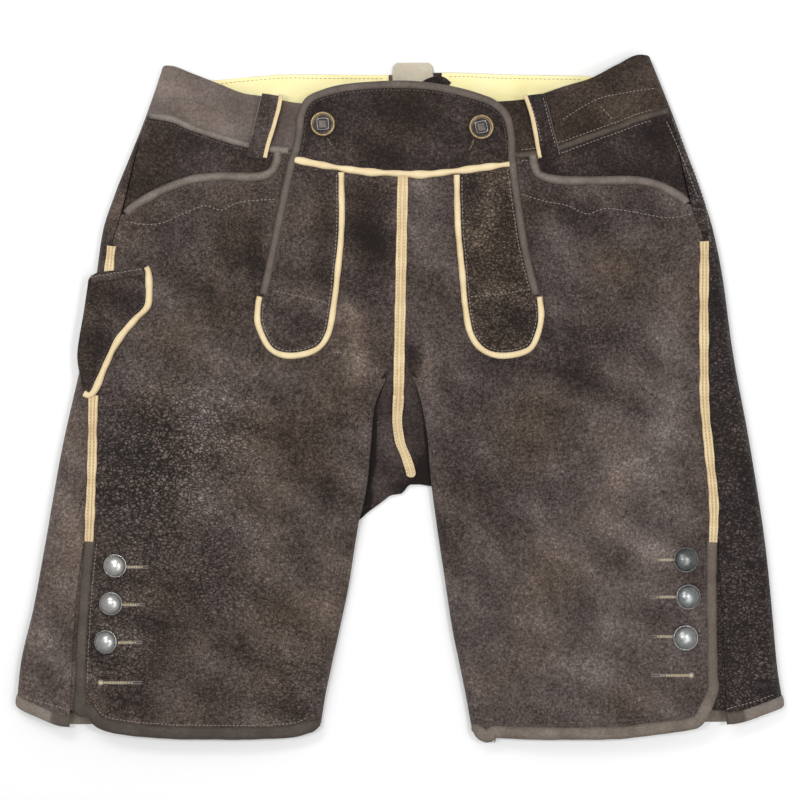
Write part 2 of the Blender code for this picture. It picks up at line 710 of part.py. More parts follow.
def waistband(side):
    """From the centre front round the side fold to the split at the centre back."""
    sign = SIDES[side]
    fold_top = float(back_top(sign * 212))
    away = sign * np.array([34, 66, 92, 108, 122, 138, 154, 170, 184])
    front_x = np.array([FRONT_TOP_X[side][-1] + sign * GAP / 2, *away])
    front_top = band_edge(side, "top", front_x)
    under_flap = ease((90 - np.abs(front_x)) / 8)
    front_low = band_edge(side, "low", front_x) + EDGE_WIDTH / 2 + GAP - under_flap * EDGE_WIDTH
    fold_low_front = float(band_edge(side, "low", sign * 212)) + EDGE_WIDTH / 2 + CURVED_GAP + GAP
    fold_low_back = fold_top - BAND_WIDTH
    turn = np.linspace(1, -1, 7)
    lows = [*front_low, *(np.where(turn > -0.1, fold_low_front, fold_low_back))]
    tops = [*front_top, *np.full(7, fold_top)]
    back_x = sign * np.array([172, 140, 105, 70, 38])
    back_x = np.append(back_x, BACK_CENTRE + sign * 4)
    lows += list(back_top(back_x) - BAND_WIDTH)
    tops += list(back_top(back_x))
    v = np.linspace(0, 1, 4)[:, None]
    y = np.array(lows)[None, :] * (1 - v) + np.array(tops)[None, :] * v
    runs = np.empty_like(y)
    count = len(front_x)
    runs[:, :count] = run_at(side, front_x[None, :] + 0 * y[:, :count], y[:, :count])
    runs[:, 0] = end_run(side, y[:, 0]) - GAP / 2
    runs[:, count : count + 7] = turn * QUARTER_RUN
    under = y[:, count + 7 :]
    runs[:, count + 7 :] = -(np.abs(back_x[None, :] - fold_x(side, under)) + QUARTER_RUN - FOLD_RADIUS)
    wrapped(f"waistband_{side}", side, runs, y, "suede")


def welt(side):
    """The welt in the seam below the waistband, from the side seam to the flap."""
    sign = SIDES[side]
    seam_x = float(side_edge(side, band_edge(side, "low", sign * 212), "front"))
    x = np.linspace(seam_x - sign * 2.5, sign * 96, 16)
    middle = np.stack([x, band_edge(side, "low", x)], axis=-1)
    strip(f"waist_welt_{side}", middle, WELT_WIDTH, "binding", *WELT_LAYER)


def facing(side):
    """The pale facing inside the back waistband."""
    sign = SIDES[side]
    x = sign * np.array([184, 168, 150, 125, 92, 60, 34.0])
    if side == "left":
        x[-1] = -10
    top = back_top(x) - 0.8
    v = np.linspace(0, 1, 3)[:, None]
    y = top * v + (top - BAND_WIDTH + 2) * (1 - v)
    runs = -(np.abs(x[None, :] - fold_x(side, y)) + QUARTER_RUN - FOLD_RADIUS)
    wrapped(f"facing_back_{side}", side, runs, y, "natural", -(LEATHER + GAP), FACING_THICKNESS)


def pocket(side):
    """The leather seen inside the pocket mouth, and the mouth's bound edge."""
    sign = SIDES[side]
    mouth = mouth_line(side, EDGE_WIDTH / 2 + 4, 10)[:8]
    seam_top = band_edge(side, "low", sign * 212) - EDGE_WIDTH / 2 - GAP
    top_x = np.linspace(float(side_edge(side, seam_top, "front")), sign * 118, 8)
    top = np.stack([top_x, band_edge(side, "low", top_x) - EDGE_WIDTH / 2 - GAP], axis=-1)
    above = UPPER_SEAM_ROWS[UPPER_SEAM_ROWS > mouth[0, 1] + 4]
    rows = np.array([mouth[0, 1] - 2, *above, seam_top])
    left = edge_runs(side, rows, "front") + np.array([GAP, 0])
    top, foot = run_and_y(side, top), run_and_y(side, mouth)
    top[0], foot[0] = left[-1], left[0]
    t = (rows - rows[0])[:, None] / (rows[-1] - rows[0])
    right = foot[-1] * (1 - t) + top[-1] * t
    grid = patch(top, foot, left, right)
    v = np.linspace(0, 1, len(rows))[:, None]
    sunk = -(LEATHER + GAP) * (1 - ease((v - 0.5) / 0.5))
    runs, y = grid[..., 0], grid[..., 1]
    wrapped(f"pocket_facing_{side}", side, runs, y, "suede", sunk, POCKET_THICKNESS)
    strip(f"pocket_edge_{side}", mouth_line(side, 0, 20), EDGE_WIDTH, "binding", *MOUTH_LAYER)


def belt_loop(side):
    """A loop standing off the waistband, with a pale strip along its inner edge."""
    sign = SIDES[side]
    top = np.array([LOOP[side][0], LOOP["y"][0]])
    foot = np.array([LOOP[side][1], LOOP["y"][1]])
    t = np.linspace(0, 1, 9)[:, None]
    middle = top * (1 - t) + foot * t
    rise = 1.6 + LOOP_RISE * np.sin(np.pi * t[:, 0]) ** 0.5
    pieces = (
        ("belt_loop_", 1.6 * sign, LOOP_WIDTH, "suede", 1.6),
        ("loop_edge_", -sign * (LOOP_WIDTH / 2 + GAP + 0.2), 3.0, "natural", 1.8),
    )
    for prefix, offset, width, finish, thickness in pieces:
        centre = middle + np.array([offset, 0])
        x, y = between(centre - [width / 2, 0], centre + [width / 2, 0], 2)
        laid(prefix + side, x, y, finish, rise, thickness)


def back_tab():
    """The tongue behind the split at the back, standing above the waistband, and its tie."""
    x = np.linspace(TAB_LEFT, TAB_RIGHT, 7)
    corner_drop = np.array([4.0, 1.0, 0, 0, 0, 1.0, 4.0])
    up = np.linspace(0, 1, 5)[:, None]
    y = TAB_FOOT + (TAB_TOP - TAB_FOOT) * up - np.where(up == 1, corner_drop, 0)
    outer = np.stack([x + 0 * y, y, 0 * y + TAB_HEIGHT], axis=-1)
    slab("back_tab", outer, outer - np.array([0, 0, LEATHER]), "tab")
    route = line(TIE, 12)
    x, y = between(beside(route, -TIE_WIDTH / 2), beside(route, TIE_WIDTH / 2), 2)
    under = np.stack([x, y, 0 * x + TAB_HEIGHT + GAP], axis=-1)
    slab("back_tie", under + np.array([0, 0, TIE_THICKNESS]), under, "suede")


# ---------------------------------------------------------------------------------------------
# Drop front

FLAP_TOP_LIFT = GAP + LEATHER


def flap_outline(count):
    """The flap's outer edge from the foot of its left side, over the top, to the foot of its right."""
    left = np.stack([FLAP_SIDE["left"], FLAP_SIDE["y"]], axis=-1)[:0:-1]
    right = np.stack([FLAP_SIDE["right"], FLAP_SIDE["y"]], axis=-1)[1:]
    top = np.stack([FLAP_TOP["x"], FLAP_TOP["y"]], axis=-1)
    return line(np.concatenate([left, top, right]), count)


def foot_y(x):
    return smooth(FLAP_FOOT["x"], FLAP_FOOT["y"], x)


def flap():
    edge = beside(flap_outline(40), EDGE_WIDTH / 2)
    strip("flap_binding", edge, EDGE_WIDTH, "binding", *PIPING_LAYER)
    x = np.linspace(-84.4, 86.4, 12)
    foot = np.stack([x, foot_y(x)], axis=-1)
    strip("flap_foot_piping", foot, PIPING_WIDTH, "natural", *PIPING_LAYER)
    arch = beside(line(FLAP_TOP, 15), EDGE_WIDTH + CURVED_GAP)
    x = np.linspace(-83.4, 85.6, 15)
    foot = np.stack([x, foot_y(x) + PIPING_WIDTH / 2 + GAP], axis=-1)
    t = np.linspace(0, 1, 5)[:, None]
    left = foot[0] * (1 - t) + arch[0] * t
    right = foot[-1] * (1 - t) + arch[-1] * t
    grid = patch(arch, foot, left, right)
    laid("flap_band", grid[..., 0], grid[..., 1], "suede", GAP, LEATHER)


def tongue(side):
    """A side tongue below the flap, its outer side bound and the rest edged with pale piping."""
    sign = SIDES[side]
    piping = TONGUE_LEFT if side == "left" else TONGUE_RIGHT
    strip(f"tongue_piping_{side}", line(piping, 26), PIPING_WIDTH, "natural", *PIPING_LAYER)
    clear = PIPING_WIDTH / 2 + 2 * GAP
    inside = beside(line(piping, 40), -sign * clear)
    low = inside[inside[:, 1] < 82]
    foot = line(low, 9)[::-1]
    side_y = np.linspace(0, 1, 7)
    outer_top = foot_y(sign * 88) - clear - 0.6
    inner_top = foot_y(sign * 50) - clear - 0.6
    outer_y = foot[0, 1] + (outer_top - foot[0, 1]) * side_y
    bound = smooth(FLAP_SIDE["y"], FLAP_SIDE[side], outer_y) - sign * (EDGE_WIDTH + CURVED_GAP)
    foot[0, 0] = bound[0]
    outer = np.stack([bound, outer_y], axis=-1)
    inner_y = foot[-1, 1] + (inner_top - foot[-1, 1]) * side_y
    line_x = inside[:20][::-1]
    inner = np.stack([np.interp(inner_y, line_x[:, 1], line_x[:, 0]), inner_y], axis=-1)
    inner[0] = foot[-1]
    x = np.linspace(outer[-1, 0], inner[-1, 0], 9)
    top = np.stack([x, foot_y(x) - clear - 0.6], axis=-1)
    outer[-1], inner[-1] = top[0], top[-1]
    grid = patch(top, foot, outer, inner)
    laid(f"tongue_{side}", grid[..., 0], grid[..., 1], "suede", GAP, LEATHER)


def strips():
    """The pale strips down the centre front, at the crotch and down the side seams."""
    for name, start, end, count in (("front_strip", 181, 1.5, 16), ("crotch_strip", 0, -65, 8)):
        y = np.linspace(start, end, count)
        seam = smooth(CROTCH["y"], CROTCH["x"], y)
        skin_height = on_top(0 * y - 8.0, np.maximum(y, 40))[0][:, 2]
        height = np.where(y > SLIT_TOP_Y + 4, skin_height, gusset_height(y))
        x = seam[:, None] + np.array([-STRIP_WIDTH / 2, STRIP_WIDTH / 2])
        under = np.stack(np.broadcast_arrays(x, y[:, None], height[:, None] + 0.6), axis=-1)
        slab(name, under + np.array([0, 0, 1.2]), under, "natural")
    spans = (
        ("left_upper", "left", 125, 109),
        ("left", "left", -1.5, -116.5),
        ("right", "right", 129, -116.5),
    )
    for name, side, start, end in spans:
        y = np.linspace(start, end, max(3, int((start - end) / 16)))
        seam = smooth(SIDE_SEAM["y"], SIDE_SEAM[side], y)
        middle = np.stack([seam, y], axis=-1)
        strip("side_strip_" + name, middle, SIDE_STRIP_WIDTH, "natural", *SEAM_STRIP_LAYER)


def sheath():
    """The flat sheath pocket for a knife on the left leg, with a turned band at its mouth and piping."""

    def level(name, x, y, finish, lift, thickness):
        inset_x = np.maximum(x, fold_x("left", y) + FOLD_RADIUS + 1)
        height = on_top(inset_x, y)[0][..., 2]
        under = np.stack([x, y, height + lift], axis=-1)
        slab(name, under + np.array([0, 0, thickness]), under, finish)

    piping = line(SHEATH_PIPING, 16)
    inside = beside(piping, PIPING_WIDTH / 2 + GAP)
    outer = line(SHEATH_OUTER, 16)
    x, y = between(outer, inside, 5)
    level("sheath", x, y, "suede", 1.2, 2.2)
    x, y = between(beside(piping, -PIPING_WIDTH / 2), beside(piping, PIPING_WIDTH / 2), 2)
    level("sheath_piping", x, y, "natural", 1.2, 2.6)
    mouth = line(SHEATH_BAND, 5)
    x, y = between(beside(mouth, -3.2), beside(mouth, 3.2), 2)
    level("sheath_band", x, y, "suede", 3.9, 1.0)


# ---------------------------------------------------------------------------------------------
# Buttons

DOME = ((0, 0), (0.3, 0), (0.3, 0.19), (0.93, 0.2), (1, 0.32), (0.9, 0.54), (0.62, 0.74), (0, 0.84))
RING = ((0, 0), (3, 0), (3, 1.4), (10.2, 1.4), (10.4, 3.2), (9.3, 4.0), (8.2, 3.2), (7.6, 2.6), (0, 2.6))


def buttons(side):
    radius = LEG_BUTTON_RADIUS[side]
    profile = [(r * radius, h * radius) for r, h in DOME]
    for number, at in enumerate(LEG_BUTTON_AT[side], 1):
        turned(f"leg_button_{side}_{number}", profile, at, "pewter", GAP)
    at = FLAP_BUTTON_AT[side]
    turned(f"flap_button_{side}", RING, at, "bronze", FLAP_TOP_LIFT + GAP)
    bezel = ((0, 0), (5.2, 0), (4.4, 1.6), (0, 1.2))
    turned(f"flap_button_stud_{side}", bezel, at, "pewter", FLAP_TOP_LIFT + 2 * GAP + 2.6, segments=4)


for side in SIDES:
    front_leg(side)
    back_leg(side)
    gusset(side)
    hem(side)
    vent(side)
    waistband(side)
    welt(side)
    facing(side)
    pocket(side)
    belt_loop(side)
    tongue(side)
    buttons(side)
back_tab()
flap()
strips()
sheath()
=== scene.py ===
"""The looks of short leather trousers (lederhosen) laid flat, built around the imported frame.

Plan view: +X to the right, +Y towards the waist, +Z up, and the back panels lie on z = 0.
"left" and "right" are as seen from above with the waist up. The tables and shape functions follow
the part's, in millimetres, with some edges drawn closer to the photo. Every piece is a closed shell.
"""

import math

import bpy
import numpy as np
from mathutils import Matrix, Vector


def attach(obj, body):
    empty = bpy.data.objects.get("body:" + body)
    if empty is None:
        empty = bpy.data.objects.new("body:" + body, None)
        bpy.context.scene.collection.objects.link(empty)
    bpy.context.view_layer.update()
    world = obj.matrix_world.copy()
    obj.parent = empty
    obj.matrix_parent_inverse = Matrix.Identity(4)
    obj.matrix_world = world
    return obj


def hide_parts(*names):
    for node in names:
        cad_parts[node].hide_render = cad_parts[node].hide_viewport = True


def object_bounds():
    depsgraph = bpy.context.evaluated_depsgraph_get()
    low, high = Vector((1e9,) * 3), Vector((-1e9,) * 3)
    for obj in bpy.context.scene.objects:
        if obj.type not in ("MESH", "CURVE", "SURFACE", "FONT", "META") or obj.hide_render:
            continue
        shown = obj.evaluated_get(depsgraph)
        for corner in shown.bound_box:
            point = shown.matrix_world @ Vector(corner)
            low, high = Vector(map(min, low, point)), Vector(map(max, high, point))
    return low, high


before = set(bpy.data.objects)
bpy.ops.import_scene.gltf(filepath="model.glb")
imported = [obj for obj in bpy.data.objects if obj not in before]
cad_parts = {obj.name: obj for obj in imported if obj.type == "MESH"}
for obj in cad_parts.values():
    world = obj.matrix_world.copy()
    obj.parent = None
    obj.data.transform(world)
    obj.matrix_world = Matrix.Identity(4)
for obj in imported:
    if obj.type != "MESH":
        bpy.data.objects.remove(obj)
cad_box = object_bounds()

MM = 0.001

# Leather and the small gaps between pieces, in millimetres.
LEATHER = 1.8
GAP = 0.3
FOLD_RADIUS = 7.0
QUARTER_RUN = FOLD_RADIUS * math.pi / 2

# Heights and places, in millimetres.
BACK_CENTRE = 9.0
BAND_WIDTH = 42.0
HEM_WIDTH = 10.5
EDGE_WIDTH = 6.3
WELT_WIDTH = 5.2
PIPING_WIDTH = 5.2
STRIP_WIDTH = 8.8
SIDE_STRIP_WIDTH = 7.6
FOLD_REACH = 95.0
INSEAM_REACH = 70.0
CROTCH_Y = -82.0
SLIT_TOP_Y = 26.0
VENT_TOP_Y = -118.0
GUSSET_FOOT_Y = -71.0
GUSSET_TOP = 24.2
GUSSET_FOOT = 4.6
GUSSET_TOP_Y = SLIT_TOP_Y + 8
# A hidden flange of this width rises under the leg's edge, so that no light shows through the slit.
GUSSET_FLANGE = 6.0

SIDES = {"left": -1, "right": 1}

# Stitches sit on the flap and the tongues at this height over the skin.
ON_FLAP = GAP + LEATHER
# Places in plan that several pieces share: the waistband's outer corner, the back hem's outer corner, and
# where the flap's foot meets its binding.
CORNER_X = 212
HEM_CORNER_X = 272
FLAP_END_X = 88
# The back layer's waistband is drawn to within this of the middle at its outer end, and the facing to this.
BAND_BACK_X = 184
FACING_X = 186
# A surface edge is sharp above this angle.
SHARP = math.radians(50)
UP = np.array([0.0, 0.0, 1.0])


def columns(names, rows):
    """A table as one array for each named column."""
    return dict(zip(names.split(), np.array(rows, float).T))


# The garment's outline: the side folds, going down from the waist.
FOLD = columns(
    "y left right",
    [
        (300, -190.5, 199),
        (280, -195.5, 207),
        (235, -210.5, 225),
        (204, -222.7, 236.5),
        (171, -236, 248.5),
        (139, -246.5, 258.5),
        (102, -252, 266),
        (40, -262.5, 274.5),
        (-42, -280.5, 289.5),
        (-124, -295, 302),
        (-173, -304, 307),
        (-222, -315, 311.5),
        (-256, -318, 316.5),
        (-290, -320, 319),
    ],
)
# The front's inner edge: the centre seam, the folds beside the crotch, then the inner legs.
FRONT_INNER = columns(
    "y left right",
    [
        (300, -1.2, -1.2),
        (36, -1.2, -1.2),
        (28, -2.5, 0.5),
        (14, -13, 11),
        (-9, -21.5, 17.5),
        (-34, -23.5, 21.5),
        (-60, -26, 24),
        (-82, -29.5, 26.5),
        (-107, -35.5, 30),
        (-157, -43.5, 37.5),
        (-190, -50.5, 42.5),
        (-222, -57.5, 49),
        (-255, -64, 55.5),
        (-290, -68, 61),
    ],
)
# The seam down the middle of the crotch.
CROTCH = columns("y x", [(40, -1.2), (0, -2), (-17, -3), (-34, -1), (-50, 5), (-64, 8.6), (-84, 9)])
# The side seams, which start on the fold and come over the top.
SIDE_SEAM = columns(
    "y left right",
    [
        (300, -189, 197),
        (240, -205.8, 220.2),
        (212, -216.5, 227.5),
        (177, -224.5, 235.5),
        (155, -230, 241),
        (128, -238, 250),
        (73, -243, 249.5),
        (3, -253, 249.5),
        (-43, -254, 253.5),
        (-91, -255.5, 257.5),
        (-118, -256.5, 256.5),
    ],
)
# The slit at the foot of the side seam: the middle of the front's binding, and the back's edge.
VENT = columns(
    "y front_left front_right back_left back_right",
    [
        (-118, -256.0, 255.8, -261.0, 261.0),
        (-165, -260.5, 255.5, -267.0, 264.0),
        (-230, -263.5, 256.3, -271.0, 267.0),
        (-290, -264.0, 256.5, -273.0, 269.0),
    ],
)
# How far the upper layer swells above the side folds, going down.
SWELL = columns("y height", [(300, 6), (240, 8), (120, 10), (20, 10.5), (-80, 9), (-180, 8), (-290, 7)])
# The waistband's top and lower edges, from the side fold to the centre front.
BAND_LEFT = columns(
    "x top low",
    [
        (-205, 276.5, 233.5),
        (-190, 275, 231),
        (-172, 268.3, 223.3),
        (-151, 260, 216),
        (-128, 251, 209),
        (-112, 248.5, 205.5),
        (-82, 243, 203.5),
        (0, 241, 201.5),
    ],
)
BAND_RIGHT = columns(
    "x top low",
    [
        (0, 241, 201.5),
        (96, 245.5, 200),
        (114, 250, 202),
        (133, 256.5, 207),
        (155, 263.5, 215),
        (178, 275.5, 223.5),
        (197, 284, 231),
        (221, 284, 238),
    ],
)
# The back waistband's top edge.
BAND_BACK = columns(
    "x top",
    [(-205, 276), (-173, 265), (-158, 262), (-93, 266.5), (-16, 266), (35, 268), (102, 266), (161, 265.5),
     (186, 273), (210, 283.5)],
)
# The pocket mouths, as the middle of their bound edges, from the side seam to the waistband.
POCKET_LEFT = columns(
    "x y",
    [(-226.5, 152.5), (-222, 157), (-211, 164), (-195, 172), (-174, 179.5), (-149, 182.5), (-130, 182),
     (-113, 183), (-105, 188), (-101.5, 196)],
)
POCKET_RIGHT = columns(
    "x y",
    [(235.5, 161), (232, 165.5), (226, 169), (213, 175.5), (196, 179.5), (173, 179.5), (146, 179),
     (127, 180), (113, 184.5), (109, 193.5)],
)
# The front hem's lower edge and the back hem's lower edge, across each leg.
HEM_FRONT_LEFT = columns(
    "x y",
    [(-268, -244), (-260, -259), (-251, -269.5), (-230, -275.5), (-181, -279.5), (-98, -279.5), (-76, -275.5),
     (-66, -268)],
)
HEM_FRONT_RIGHT = columns(
    "x y",
    [(57, -266), (66, -275.5), (77, -279.5), (172, -279.5), (203, -276.5), (240, -271.5), (249.5, -266),
     (260.5, -243)],
)
HEM_BACK = columns(
    "x y",
    [(-330, -249), (-304, -261), (-275, -270), (-60, -269), (60, -269), (270, -268), (317, -255),
     (330, -251)],
)
# The flap: its outer edge down each side, the arch across its top, and the piping at its foot.
FLAP_SIDE = columns(
    "y left right",
    [
        (234, -84.5, 89),
        (217, -86.5, 93.5),
        (203, -89.5, 94),
        (194, -92.5, 94.5),
        (167, -98.5, 98),
        (130, -106, 103.5),
        (104, -111.5, 109),
        (86, -115.5, 114),
    ],
)
FLAP_TOP = columns(
    "x y",
    [(-84.5, 234), (-77, 247.5), (-60, 255), (-39, 259), (-5.5, 261), (19, 260), (44, 256), (65.5, 250),
     (78, 244.5), (89, 234)],
)
FLAP_FOOT = columns(
    "x y",
    [(-91, 197), (-55, 190.2), (-24, 186), (-1.5, 185), (15.5, 184.2), (45, 187), (92, 193)],
)
# Each tongue's piping, from the flap's foot down the inner side, round and up to the binding.
TONGUE_LEFT = columns(
    "x y",
    [(-49, 186), (-48.8, 141), (-52, 104), (-55.4, 75), (-60, 53), (-70, 40.5), (-90, 35.5), (-106.5, 41),
     (-116.5, 60), (-117, 75), (-115.5, 84)],
)
TONGUE_RIGHT = columns(
    "x y",
    [(46, 184), (47, 141), (50.4, 104), (53, 75), (57.5, 53), (67.7, 40), (84.5, 35.5), (104.5, 40.5),
     (112, 53), (114.8, 68), (113.5, 84)],
)
# The sheath pocket on the left leg: its fold side, and the piping down its open side to the tip.
SHEATH_OUTER = columns(
    "x y",
    [(-249.5, 104.5), (-256.5, 99.5), (-258, 92), (-261, 72), (-265.5, 46), (-266.3, 33), (-264.3, 19.5),
     (-261.3, 6)],
)
SHEATH_PIPING = columns(
    "x y",
    [(-209.3, 108.5), (-207.3, 103), (-207, 82), (-209.5, 74), (-218, 66), (-227, 56), (-234.6, 45.5),
     (-242.3, 29.5), (-250.7, 9.6), (-256, 3), (-261, 5)],
)
SHEATH_WORN_EDGE = ((-265.6, 31), (-264.4, 22), (-262.2, 13))
# Belt loops: the middle of each at its top and foot.
LOOP = columns("left right y", [(-105, 108.5, 249.5), (-117.5, 122, 197.5)])
LOOP_WIDTH = 14.0
LOOP_RISE = 4.8
LOOP_EDGE_WIDTH = 3.5
LOOP_SLANT = 0.14
# The tongue behind the split at the back, and the middle of its dark tie.
TAB_LEFT, TAB_RIGHT, TAB_FOOT, TAB_TOP, TAB_HEIGHT = -7.0, 27.0, 200.0, 279.0, 4.0
TIE = ((8, 240), (13, 254), (22, 262.5), (33, 264.5), (40, 260))
TIE_WIDTH = 6.0
# The middle of the turned band at the sheath's mouth.
SHEATH_BAND = ((-254.5, 98.3), (-211.5, 104.8))

HEM_FRONT = {"left": HEM_FRONT_LEFT, "right": HEM_FRONT_RIGHT}
POCKET_MOUTH = {"left": POCKET_LEFT, "right": POCKET_RIGHT}
BAND = {"left": BAND_LEFT, "right": BAND_RIGHT}
TONGUE_PIPING = {"left": TONGUE_LEFT, "right": TONGUE_RIGHT}

FLAP_BUTTON_AT = {"left": (-64.0, 225.0), "right": (66.0, 222.5)}
LEG_BUTTON_AT = {
    "left": ((-234.5, -137.0), (-238.0, -168.0), (-242.0, -199.5)),
    "right": ((233.5, -132.0), (235.5, -162.5), (233.5, -196.0)),
}
LEG_BUTTON_RADIUS = {"left": 9.5, "right": 10.3}

# Where the crotch ends in plan, from the left leg's edge to the right leg's.
CROTCH_FOOT = columns("x y", [(-35, -103), (-28, -94), (-11, -80), (0, -78.5), (6, -71), (26, -71)])
# How much higher than the solid the back waistband's edge shows.
BACK_RISE = 3.0
CELL = 2.4  # the largest panels' grid, in millimetres

# Soft patches on the suede: x, y, reach in x and y, how much paler, how much browner. Most are the suede's
# own tone; those noted below are painted shade, a painted shadow or a painted highlight.
PATCHES = {
    "leg": (
        # Left leg: rubbed pale across the thigh, dark by the pocket, the fly and the buttons; the narrow dark
        # band at (-118, 110) is a painted shadow beside the flap's binding.
        (-165, 5, 40, 34, 0.17, -0.1), (-150, -70, 46, 44, 0.15, -0.1), (-120, -30, 40, 30, 0.05, 0.3),
        (-145, 105, 40, 44, -0.13, 0), (-190, 140, 40, 22, -0.06, 0), (-222, -40, 20, 40, -0.12, 0),
        (-85, -35, 26, 34, -0.13, 0.35), (-52, -18, 14, 10, -0.18, 0), (-62, -80, 8, 20, -0.2, 0),
        (-36, 34, 9, 34, 0.2, 0.25), (-40, 72, 14, 12, 0.16, 0.3), (-30, -40, 8, 30, 0.1, 0.15),
        (-24, 122, 18, 36, -0.36, 0), (-30, 152, 20, 24, -0.2, 0), (-118, 110, 8, 60, -0.16, 0),
        (-80, -173, 28, 26, 0.1, 0.35), (-110, -125, 30, 26, 0.07, 0.1), (-180, -190, 35, 40, -0.06, 0.1),
        (-120, -215, 50, 30, 0.04, 0.1), (-60, -150, 8, 50, 0.06, 0.1), (-225, -250, 24, 16, -0.08, 0.1),
        (-205, 75, 30, 24, 0.04, 0),
        # Right leg: pale along the side and over the knee, dark under the flap; the narrow dark band at (108,
        # 130) is a painted shadow beside the flap's binding, the dark spot at (10, 36) is painted shade where
        # the fold meets the crotch, and the pale one at (22, 24) is a painted highlight on the fold's ridge.
        (22, 130, 16, 20, 0.1, -0.1), (20, 165, 14, 22, 0.13, -0.1), (24, 95, 16, 16, -0.06, 0.2),
        (10, 36, 7, 14, -0.28, 0), (22, 24, 8, 18, 0.2, 0.1), (134, 112, 22, 24, 0.06, -0.1),
        (184, 109, 30, 16, -0.02, 0.7), (142, 45, 46, 36, -0.14, -0.1), (100, 25, 50, 22, -0.08, 0),
        (221, 34, 15, 40, 0.2, -0.15), (212, -20, 18, 30, 0.12, -0.1), (190, -52, 30, 34, 0.2, -0.05),
        (176, -68, 12, 10, 0.12, 0.5), (118, -30, 34, 30, 0.03, 0.6), (107, -139, 24, 26, 0.04, 0.5),
        (60, -70, 30, 50, -0.1, -0.1), (28, -30, 8, 50, 0.06, 0), (150, -110, 40, 26, 0.12, -0.05),
        (205, -120, 22, 36, 0.14, -0.15), (156, -218, 60, 30, 0.08, -0.1), (60, -240, 14, 16, 0.07, 0.1),
        (150, 155, 50, 20, -0.14, 0.1), (215, 150, 16, 12, 0.04, 0), (108, 130, 9, 60, -0.12, 0),
        (132, -190, 4, 40, 0.05, 0), (150, -180, 5, 44, -0.05, 0), (168, -200, 5, 36, 0.05, 0),
        (60, -130, 5, 60, 0.05, 0), (48, -100, 4, 60, -0.06, 0), (75, -120, 4, 50, 0.05, 0),
        (140, -190, 110, 90, 0.06, 0),
    ),
    "back": (
        # The dark patch at (0, -86) is a painted shadow in the gap at the crotch's foot.
        (0, -86, 42, 18, -0.9, 0), (-269, -107, 14, 24, 0.14, 0.3), (-285, -200, 16, 40, -0.05, 0),
        (-255, -60, 10, 60, -0.1, 0.1),
        (-225, 200, 30, 30, -0.38, 0), (-246, 130, 14, 34, -0.25, 0), (285, -60, 12, 60, -0.05, 0),
        (290, -190, 14, 40, 0.07, -0.1), (243, 190, 18, 40, 0.12, 0.0), (262, 60, 10, 70, -0.06, 0),
    ),
    "waist": (
        (-195, 250, 22, 20, 0.05, 0), (-150, 235, 30, 14, -0.02, 0.1), (-100, 225, 14, 30, -0.22, 0.1),
        (190, 255, 20, 14, 0.06, 0.1), (150, 232, 22, 8, 0.05, 0.1), (110, 220, 16, 30, -0.08, 0),
    ),
    "flap": (
        (-66, 201, 22, 7, 0.12, 0.1), (62, 203, 20, 12, 0.12, 0.1), (0, 244, 60, 12, -0.06, 0),
        (30, 222, 26, 14, 0.05, 0), (-30, 205, 24, 10, 0.06, 0),
    ),
    "tongue": (
        (-81, 149, 12, 15, 0.17, 0.2), (-85, 78, 16, 12, 0.14, 0.3), (-62, 150, 8, 60, -0.08, 0),
        (-72, 112, 14, 16, 0.05, 0.1), (-95, 55, 20, 12, -0.08, 0), (73, 159, 7, 22, 0.2, 0.1),
        (61, 127, 10, 12, 0.13, 0), (82, 88, 18, 7, 0.1, 0), (85, 58, 22, 18, -0.05, 0),
        (60, 175, 12, 12, -0.08, 0),
    ),
    "pocket": ((-160, 195, 30, 12, 0.08, 0), (-205, 190, 16, 20, -0.1, 0), (150, 195, 40, 12, 0.07, 0)),
    "gusset": (
        # The dark patches at (14, -8), (24, -64) and (6, -74) are painted shade between the crotch strip and
        # the right leg's fold.
        (-12, -38, 7, 26, 0.1, 0), (14, -8, 8, 26, -0.12, 0), (24, -64, 12, 18, -0.75, 0),
        (6, -74, 12, 6, -0.5, 0),
        (-8, 22, 8, 12, 0.04, 0.1),
    ),
    "sheath": ((-236, 66, 14, 20, 0.05, 0), (-250, 40, 6, 20, -0.08, 0)),
    "plain": (),
}
# Where the leg's grain is wrinkled: x, y, reach in x and y, how much.
WRINKLED = (
    (-218, -62, 42, 56, 1.0), (-160, -30, 46, 46, 0.5), (-235, -200, 30, 60, 0.55),
    (-160, -140, 60, 50, 0.35),
    (-90, -230, 60, 40, 0.25), (100, -60, 60, 60, 0.15),
)
# How pale, how brown and how wrinkled each piece is to start with; below 0 wrinkled means a calmer grain.
TONES = {
    "leg_left": (0.45, 0.34, 0.15),
    "leg_right": (0.43, 0.12, 0.05),
    "back_left": (0.56, 0.34, 0.05),
    "back_right": (0.29, 0.25, 0.75),
    "gusset": (0.30, 0.2, -0.4),
    "waist_left": (0.68, 0.22, -0.8),
    "waist_right": (0.28, 0.85, -0.25),
    "pocket_left": (0.24, 0.3, 0.05),
    "pocket_right": (0.14, 0.1, 0.05),
    "flap": (0.19, 0.2, 0.05),
    "loop_left": (0.36, 0.1, 0.05),
    "loop_right": (0.10, 0.2, 0.05),
    "tongue_left": (0.36, 0.3, 0.1),
    "tongue_right": (0.40, 0.9, 0.6),
    "sheath": (0.28, 0.35, 0.2),
    "hem_back_left": (0.72, 0.6, 0.1),
    "hem_back_right": (0.66, 0.4, 0.1),
}
PLAIN_TONE = (0.0, 0.3, 0.0)
HEM_TONES = {"left": (0.02, 0.4), "right": (0.55, 0.5)}
VENT_TONES = {"left": (0.14, 0.3), "right": (0.38, 0.1)}
WELT_TONES = {"left": (0.66, 0.2), "right": (0.08, 0.9)}

